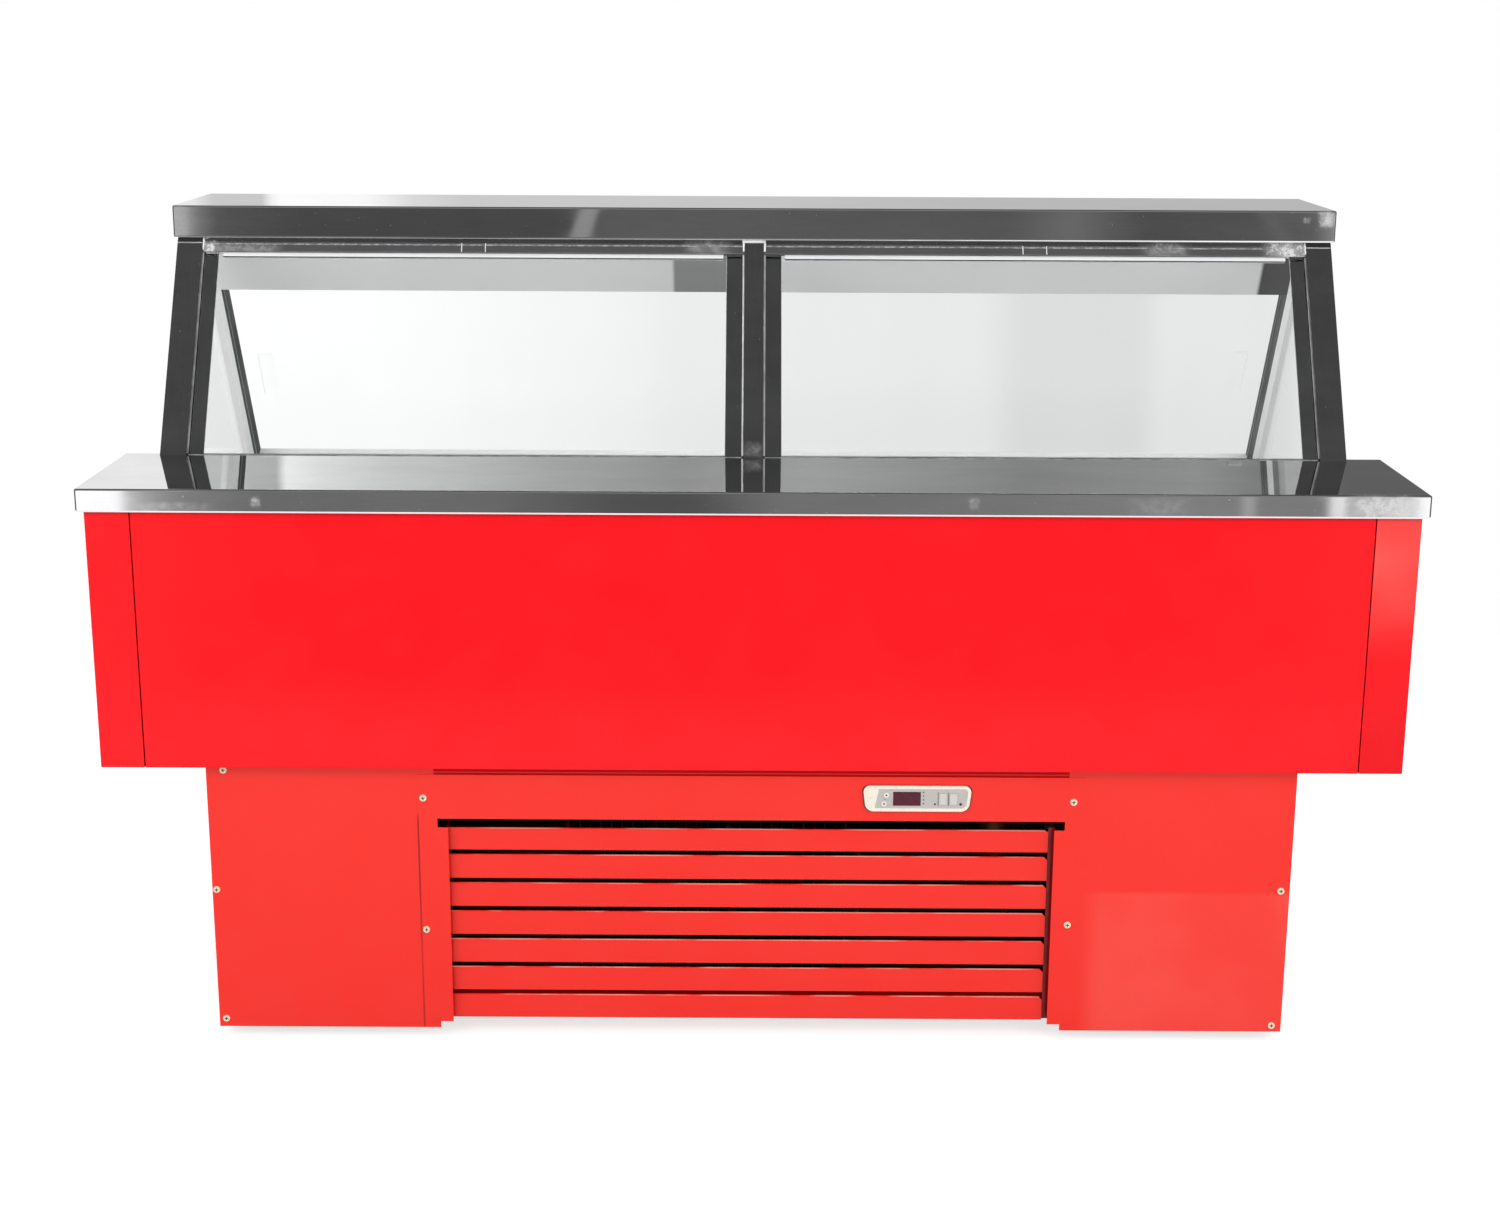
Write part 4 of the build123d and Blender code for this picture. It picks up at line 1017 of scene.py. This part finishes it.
def hem(piece, height, tuck, size):
    """The lowest strip of a folded skirt, turned in a little to make a safe edge."""
    bottom = min(corner.co.z for corner in piece.data.vertices)
    middle = sum((Vector(corner) for corner in piece.bound_box), Vector()) / 8
    cut(piece, (0, 0, bottom + height), (0, 0, 1))
    edit(piece, "EDGE", lambda edge: (
        all(abs(end.co.z - bottom - height) < 0.0001 for end in edge.verts)
    ), bpy.ops.mesh.mark_sharp)
    narrow = {"value": (1 - 2 * tuck / size.x, 1 - 2 * tuck / size.y, 1), "center_override": middle}
    edit(piece, "EDGE", lambda edge: centre(edge).z < bottom + 0.0001, bpy.ops.transform.resize, **narrow)


low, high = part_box("counter_ledge")
ledge = new_block("counter_ledge_sheet", low, high)
remove_faces(ledge, facing(0, 0, -1))
hem(ledge, height=0.0026, tuck=0.0010, size=high - low)
round_off(ledge, "EDGE", is_bend, fold_round, 4)
thicken(ledge, steel_sheet)
finish_piece(ledge, ledge_steel, "stainless", "counter_ledge")

worktop_steel = bright_steel("worktop_steel", (0.60, 0.60, 0.61), (0.72, 0.72, 0.73), rough=(0.16, 0.24))
finish_node(worktop_steel, "rear_worktop", "end_coamings")


# Tub, decks and evaporator
# White-lined tub with two angle rails, three folded stainless decks on them for the meat, and
# a finned evaporator below with a fan plate and two fans.
liner_white = speckled("liner_sheet", 40, (0.70, 0.71, 0.71), (0.80, 0.81, 0.81), (0.25, 0.4))
finish_node(liner_white, "tub_liner")
finish_node(worktop_steel, "display_decks", "deck_rails", "evaporator_fan_plate")

coil_fins = speckled(
    "coil_fins", 25, (0.40, 0.41, 0.42), (0.66, 0.67, 0.68), (0.35, 0.6), detail=6, metal=0.9,
)
finish_node(coil_fins, "evaporator")
finish_node(fan_plastic, "evaporator_fan_left", "evaporator_fan_right")


# Glazing bars
# Posts at both ends and a mullion between the panes, folded from stainless sheet with a raised
# cover strip on a wider flange. They lean back with the glass from the ledge to the canopy.
lean = math.radians(31)
glass_foot = Vector((0, -0.247, 0.886))
front_slope = Matrix.Translation(glass_foot) @ Matrix.Rotation(-lean, 4, "X")
slope_out = front_slope.to_3x3() @ Vector((0, -1, 0))
ledge_top = glass_foot.z
canopy_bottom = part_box("canopy")[0].z
overrun = 0.05
strip_proud = 0.012
bar_back = 0.009
bar_front = 0.006


def up_slope(height):
    """How far up the leaning front a height is reached."""
    return (height - ledge_top) / math.cos(lean)


slope_length = up_slope(canopy_bottom)
bar_steel = bright_steel(
    "bar_steel", (0.44, 0.44, 0.45), (0.58, 0.58, 0.59), grain=(40, 0.6, 0.6),
    depth=(-0.26, -0.22), scuffs_and_highlights=[(-0.014, 0.014, 0.890, 0.908, 0.3)],
)


def glazing_bar(name, flange, strip):
    """A leaning bar: its flange and the raised strip on it, as (low x, high x)."""
    bar = new_block(
        name, (flange[0], bar_front, -overrun), (flange[1], bar_back, slope_length + overrun), front_slope,
    )
    for edge_x in strip:
        if flange[0] < edge_x < flange[1]:
            cut(bar, (edge_x, 0, 0), (1, 0, 0))
    push(
        bar, lambda face: facing(*slope_out)(face) and strip[0] < centre(face).x < strip[1],
        slope_out * strip_proud,
    )
    soften(bar, 0.0012, 3)
    cut(bar, (0, 0, ledge_top), (0, 0, -1), drop=True)
    cut(bar, (0, 0, canopy_bottom), (0, 0, 1), drop=True)
    return bar


post_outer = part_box("front_post_right")[1].x
post_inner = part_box("front_post_right")[0].x
strip_inner = 0.899
right_post = glazing_bar("front_post_right_bar", (post_inner, post_outer), (strip_inner, post_outer))
finish_pair(
    right_post, "front_post_left_bar", bar_steel, "stainless", "front_post_right", "front_post_left",
)
mullion_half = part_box("mullion")[1].x
mullion_strip = 0.016
mullion = glazing_bar("mullion_bar", (-mullion_half, mullion_half), (-mullion_strip, mullion_strip))
finish_piece(mullion, bar_steel, "stainless", "mullion")


# Front glass
# Two sheets of 6 mm float glass with ground edges, laid on the flanges of the bars. A bright
# channel caps the top edge of each sheet, with a dark rubber lip under it as a painted shadow.
def glass(name, bend, tint=1.0, sawn=0.0):
    """Clear sheet that lets light through to what is behind it; bend is its index of refraction.

    Tint is the share of light that passes, and sawn is how far the upright edges are frosted.
    """
    material, tree, shader = start_material(name)
    streaks = noise(tree, 6, stretch=(3, 0.5, 0.5), detail=4)
    dim = Vector((0.975, 0.982, 0.980)) * tint
    bright = Vector((0.995, 0.998, 0.996)) * tint
    sheet = mix_colours(streaks, (*dim, 1), (*bright, 1))
    sideways = combine("ABSOLUTE", looking(tree, "X"), 0.0)
    frosted = between(sideways, 0.4, 0.8, 0.0, sawn)
    sheet = mix_colours(frosted, sheet, (0.46, 0.54, 0.53, 1))
    passing = combine("SUBTRACT", 1.0, frosted)
    rough = times(frosted, 0.5)
    feed(shader, Base_Color=sheet, Roughness=rough, Transmission_Weight=passing, IOR=bend)
    clear = put(tree, "ShaderNodeBsdfTransparent", Color=(0.95, 0.96, 0.955, 1))
    path = tree.nodes.new("ShaderNodeLightPath").outputs
    through = mix_shaders(path["Is Shadow Ray"], shader.outputs[0], clear.outputs[0])
    feed(tree.nodes["Material Output"], Surface=through)
    return material


clear_glass = glass("clear_glass", 1.3)
glass_thick = 0.006
glass_edge = 0.0006
pane_gap = 0.001
rail_low = 1.190
rail_foot = up_slope(rail_low)
right_pane = new_block(
    "front_glass_right_sheet", (mullion_strip + pane_gap, 0, -overrun),
    (strip_inner - pane_gap, glass_thick, rail_foot - 2 * pane_gap), front_slope,
)
soften(right_pane, glass_edge)
cut(right_pane, (0, 0, ledge_top), (0, 0, -1), drop=True)
finish_pair(
    right_pane, "front_glass_left_sheet", clear_glass, "clear_glass", "front_glass_right", "front_glass_left",
)

white_channel = speckled(
    "white_channel", 30, (0.84, 0.85, 0.86), (0.97, 0.97, 0.97), (0.25, 0.4), stretch=(0.2, 1, 1), metal=0.1,
)
rubber = speckled("black_rubber", 300, (0.014, 0.014, 0.015), (0.03, 0.03, 0.032), (0.55, 0.7))

channel_ends = (0.050, 0.866)
channel_wall = 0.0015
lip_height = 0.0012
channel_foot = up_slope(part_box("glass_channels")[0].z)
channel = new_block(
    "glass_channel_right", (channel_ends[0], -channel_wall, channel_foot + lip_height),
    (channel_ends[1], glass_thick + channel_wall, rail_foot), front_slope,
)
slope_down = front_slope.to_3x3() @ Vector((0, 0, -1))
remove_faces(channel, facing(*slope_down))
thicken(channel, channel_wall - 0.0001)
soften(channel, 0.0003)
finish_pair(channel, "glass_channel_left", white_channel, "aluminium", "glass_channels")
# Painted shadow: a dark strip under the channel.
shadow_lip = new_block(
    "channel_shadow_lip_right", (channel_ends[0], -channel_wall, channel_foot),
    (channel_ends[1], -0.0001, channel_foot + lip_height), front_slope,
)
soften(shadow_lip, 0.0003)
finish_pair(shadow_lip, "channel_shadow_lip_left", rubber, "black_rubber", "glass_channels")


# Front rails
# A folded stainless rail under the canopy holds the top of each pane. Its lower half stands
# a little proud, a small clip sits at the middle of each, and the outer ends are rubbed pale.
# A thin pale line along the step is a painted highlight, and the underside is painted dark as shade.
rail_steel = bright_steel(
    "rail_steel", (0.74, 0.74, 0.75), (0.96, 0.96, 0.97), depth=(-0.08, -0.05), scuffs_and_highlights=[
        (-0.900, -0.880, 1.187, 1.203, 1.0), (-0.890, -0.780, 1.190, 1.200, 0.3),
        (0.840, 0.900, 1.187, 1.214, 1.0), (0.640, 0.700, 1.190, 1.212, 0.35),
        # The last of these is a painted highlight: a thin pale line along the whole rail at its step.
        (-0.106, -0.046, 1.187, 1.212, 0.3), (-0.900, 0.900, 1.2002, 1.2022, 0.5),
    ],
)
rail_step = 1.202
rail_shoulder = up_slope(rail_step)
rail_fit = 0.0005
rail_upper = 0.0025
rail_lower = 0.0025
foot_drop = 0.0040
foot_tuck = 0.0004
rail = new_block(
    "front_rail_right",
    (mullion_strip + rail_fit, -rail_upper, rail_foot),
    (strip_inner - rail_fit, glass_thick, slope_length + overrun), front_slope,
)
cut(rail, front_slope @ Vector((0, 0, rail_shoulder)), -slope_down)
push(rail, lambda face: facing(*slope_out)(face) and centre(face).z < rail_step, slope_out * rail_lower)
proud_face = front_slope @ Vector((0, -rail_upper - rail_lower / 2, 0))
push(rail, lambda face: (
    facing(*slope_down)(face) and (centre(face) - proud_face).dot(slope_out) > -rail_lower / 2
), slope_down * foot_drop)
foot_front = front_slope @ Vector((0, -rail_upper - rail_lower, rail_foot - foot_drop))
edit(rail, "EDGE", lambda edge: (
    (centre(edge) - foot_front).yz.length < 0.0005
), bpy.ops.transform.translate, value=slope_out * -foot_tuck)
soften(rail, 0.0012, 3)
cut(rail, (0, 0, canopy_bottom), (0, 0, 1), drop=True)
# The faces that look down are painted dark, as shade under the rail.
two_finishes(rail, rail_steel, dark_shade_and_print, lambda face: face.normal.dot(slope_down) > 0.6)
finish_pair(rail, "front_rail_left", None, "stainless", "front_rails")
clip_half = 0.02
clip_margin = 0.0008
clip_rim = 0.0014
clip_dip = 0.0005
clip_proud = 0.0010
clip_x = (mullion_strip + strip_inner) / 2
clip_face = -rail_upper - rail_lower - clip_proud
clip = new_block(
    "rail_clip_right", (clip_x - clip_half, clip_face, rail_foot - foot_drop + clip_margin),
    (clip_x + clip_half, foot_tuck - rail_upper - rail_lower, rail_shoulder - clip_margin), front_slope,
)
push(clip, facing(*slope_out), slope_out * -clip_dip, clip_rim)
two_finishes(clip, rail_steel, white_channel, lambda face: (
    abs(abs(face.center.x - clip_x) - clip_half) < clip_rim and face.normal.dot(slope_out) > 0.9
))
finish_pair(clip, "rail_clip_left", None, "stainless", "front_rails")


# Sealant
# Silicone, white on some runs and grey on others, run by hand along the cover strips, at the foot of the
# glass and round the tops of the bars, uneven as a bead drawn with a finger is. Rubber pads close the
# posts; they are black, a painted shadow under the canopy.
white_sealant, grey_sealant = (
    speckled(name, 45, grimy, clean, (0.3, 0.5), detail=5, spread=(0.35, 0.6))
    for name, grimy, clean in (
        ("white_sealant", (0.80, 0.80, 0.79), (0.97, 0.97, 0.96)),
        ("grey_sealant", (0.30, 0.30, 0.30), (0.48, 0.48, 0.48)),
    )
)


bead_step = 0.005
bead_edge = 0.0003


def bead(name, low, high, uneven, material, slope=front_slope):
    """A run of sealant or rubber in a box, uneven along its length."""
    run = new_block(name, low, high, slope)
    length = max(Vector(high) - Vector(low))
    edit(run, "EDGE", lambda edge: (
        edge.calc_length() > 0.9 * length
    ), bpy.ops.mesh.subdivide, number_cuts=int(length / bead_step))
    edit(run, "EDGE", lambda edge: True, bpy.ops.transform.vertex_random, offset=uneven, seed=7)
    soften(run, bead_edge)
    finish_piece(run, material, "white_plastic")


strip_face = -strip_proud + bar_front
bead_top = up_slope(canopy_bottom - 0.001) + strip_face * math.tan(lean)
bead_foot = 0.002
bead_rise = 0.0015
post_width = 0.0018
pad_rise = 0.0006
seal_low = bead_top - 0.0105
seal_high = seal_low + 0.0018
even = 0.0001
wavy = 0.0003
lumpy = 0.0010
for side, word, mullion_width, mullion_sealant in (
    (-1, "left", 0.0024, white_sealant), (1, "right", 0.0028, grey_sealant),
):
    for name, edge, width, material in (
        ("mullion_bead_" + word, side * mullion_strip, side * mullion_width, mullion_sealant),
        ("post_bead_" + word, side * strip_inner, -side * post_width, grey_sealant),
    ):
        start, end = sorted((edge, edge + width))
        bead(name, (start, -bead_rise, bead_foot), (end, 0, rail_foot), wavy, material)
        bead(
            name + "_top", (start, strip_face - pad_rise, rail_foot), (end, -rail_upper, bead_top),
            lumpy, white_sealant,
        )
    start, end = sorted((side * (strip_inner + 0.001), side * (post_outer - 0.001)))
    bead(
        "post_top_bead_" + word, (start, strip_face - 2 * pad_rise, seal_low), (end, strip_face, seal_high),
        wavy, grey_sealant,
    )
    # Painted shadow: a black pad between the bead and the canopy, where the canopy shades the strip.
    bead(
        "post_top_shadow_pad_" + word, (start, strip_face - pad_rise, seal_high), (end, strip_face, bead_top),
        even, rubber,
    )
    start, end = sorted((side * (mullion_strip + 0.002), side * (strip_inner - 0.002)))
    bead(
        "glass_foot_bead_" + word, (start, glass_foot.y - 0.0012, ledge_top),
        (end, glass_foot.y + 0.0004, ledge_top + 0.0009), even, grey_sealant, slope=Matrix(),
    )
bead(
    "mullion_top_bead", (-mullion_strip - 0.003, strip_face - 0.0020, bead_top - 0.0055),
    (mullion_strip + 0.003, strip_face, bead_top), 0.0011, white_sealant,
)


# End glass
# A clear sheet at each end, cut to the lean of the front and back frames, held in black rubber
# channels along the coaming and under the canopy.
finish_node(rubber, "end_glass_gaskets")
finish_node(clear_glass, "end_glass")


# Rear frame and doors
# Thin sheet posts and a deep satin header lean the other way at the server's side. White plastic
# tracks in them carry two clear sliding sheets with sawn edges and welded grips.
header_steel, tree, shader = start_material("header_steel")
wiped = noise(tree, 3, detail=4)
# Its light grey stands partly for the bright decks that the steel mirrors, a painted reflection.
header_tone = mix_colours(wiped, grey(0.80), grey(0.90))
in_front = between(looking(tree, "Y"), -0.6, -0.2, 1.0, 0.0)
# Two stretches of the front face are painted darker, as painted reflections.
for start, end, tone in ((-0.138, 0.0, 0.33), (0.868, 1.0, 0.09)):
    dark_reflection_patch = patch(tree, (start, -1, 1), (end, 1, 2), (0.004, 0.01, 0.01))
    dark_reflection_patch = times(dark_reflection_patch, in_front)
    header_tone = mix_colours(dark_reflection_patch, header_tone, grey(tone))
feed(shader, Base_Color=header_tone, Metallic=0.15)
sheen(shader, wiped, 0.28, 0.38)
finish_node(header_steel, "rear_header")

# Faces that look along the case are near black and the rest near white; the near white is a painted
# reflection of the white around the posts.
post_sheet, tree, shader = start_material("rear_post_sheet")
sideways = combine("ABSOLUTE", looking(tree, "X"), 0.0)
wiped = noise(tree, 9, detail=4)
post_side = mix_colours(wiped, grey(0.03), grey(0.07))
post_tone = mix_colours(between(sideways, 0.4, 0.8), grey(0.86), post_side)
feed(shader, Base_Color=post_tone, Specular_IOR_Level=0.2)
sheen(shader, wiped, 0.35, 0.5)
finish_node(post_sheet, "rear_posts")

track_plastic = speckled("track_plastic", 60, (0.95, 0.95, 0.94), (0.99, 0.99, 0.98), (0.3, 0.45))
finish_node(track_plastic, "door_tracks")

clear_acrylic = glass("clear_acrylic", 1.15, tint=0.955, sawn=1.0)
moulded_grip = glass("moulded_grip", 1.02)

rear_foot = Vector((0, 0.3588, 0.735))
rear_slope = Matrix.Translation(rear_foot) @ Matrix.Rotation(lean, 4, "X")
rear_out = rear_slope.to_3x3() @ Vector((0, 1, 0))
door_low = 0.0104
door_high = 0.4394
door_edges = (-0.015, 0.9195)
door_sheet = 0.005
grip_half = (0.012, 0.045)
grip_proud = 0.009
grip_round = 0.003
grip_x = door_edges[1] - 4 * grip_half[0]
grip_z = (door_low + door_high) / 2
for side, track, node_name, body in (
    (-1, 0.015, "rear_door_left", "left_door"),
    (1, 0.035, "rear_door_right", "right_door"),
):
    ends = sorted(side * edge for edge in door_edges)
    sheet = new_block(
        node_name + "_sheet", (ends[0], track - door_sheet / 2, door_low),
        (ends[1], track + door_sheet / 2, door_high), rear_slope,
    )
    soften(sheet, glass_edge)
    finish_piece(sheet, clear_acrylic, "clear_acrylic", node_name, body=body)
    grip = new_block(
        node_name + "_grip",
        (side * grip_x - grip_half[0], track + door_sheet / 2, grip_z - grip_half[1]),
        (side * grip_x + grip_half[0], track + door_sheet / 2 + grip_proud, grip_z + grip_half[1]),
        rear_slope,
    )
    round_off(grip, "FACE", facing(*rear_out), grip_round, 4)
    finish_piece(grip, moulded_grip, "clear_acrylic", node_name, body=body)


# Canopy
# A folded stainless cap with an inward flange, closed from inside by a flat soffit. A shallow
# light fitting with a rounded lens runs along the middle of the soffit, and it is switched on.
canopy_steel = bright_steel(
    "canopy_steel", (0.66, 0.66, 0.67), (0.76, 0.76, 0.77), depth=(-0.08, -0.05), scuffs_and_highlights=[
        (0.919, 0.940, 1.239, 1.260, 0.6), (0.893, 0.903, 1.243, 1.252, 0.3),
        (-0.943, -0.925, 1.214, 1.262, 0.25),
    ],
)
low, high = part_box("canopy")
canopy_flange = 0.040
canopy = new_block("canopy_sheet", low, high)
choose(canopy, "FACE", facing(0, 0, -1))
bpy.ops.mesh.inset(thickness=canopy_flange)
bpy.ops.mesh.delete(type="FACE")
leave_edit()
hem(canopy, height=0.0028, tuck=0.0006, size=high - low)
round_off(canopy, "EDGE", lambda edge: centre(edge).z > low.z + 0.01 and is_bend(edge), fold_round, 4)
thicken(canopy, steel_sheet)
finish_piece(canopy, canopy_steel, "stainless", "canopy")
finish_node(worktop_steel, "canopy_soffit")

white_plastic = speckled("white_plastic", 80, (0.80, 0.80, 0.79), (0.88, 0.88, 0.87), (0.3, 0.45))
finish_node(white_plastic, "lamp_housing")

lens = speckled(
    "lamp_lens", 400, (0.82, 0.83, 0.84), (0.92, 0.93, 0.94), (0.2, 0.35), detail=2, stretch=(0.02, 1, 1),
)
feed(lens.node_tree.nodes["Principled BSDF"], Emission_Color=grey(1), Emission_Strength=5.0)
finish_node(lens, "lamp_diffuser")
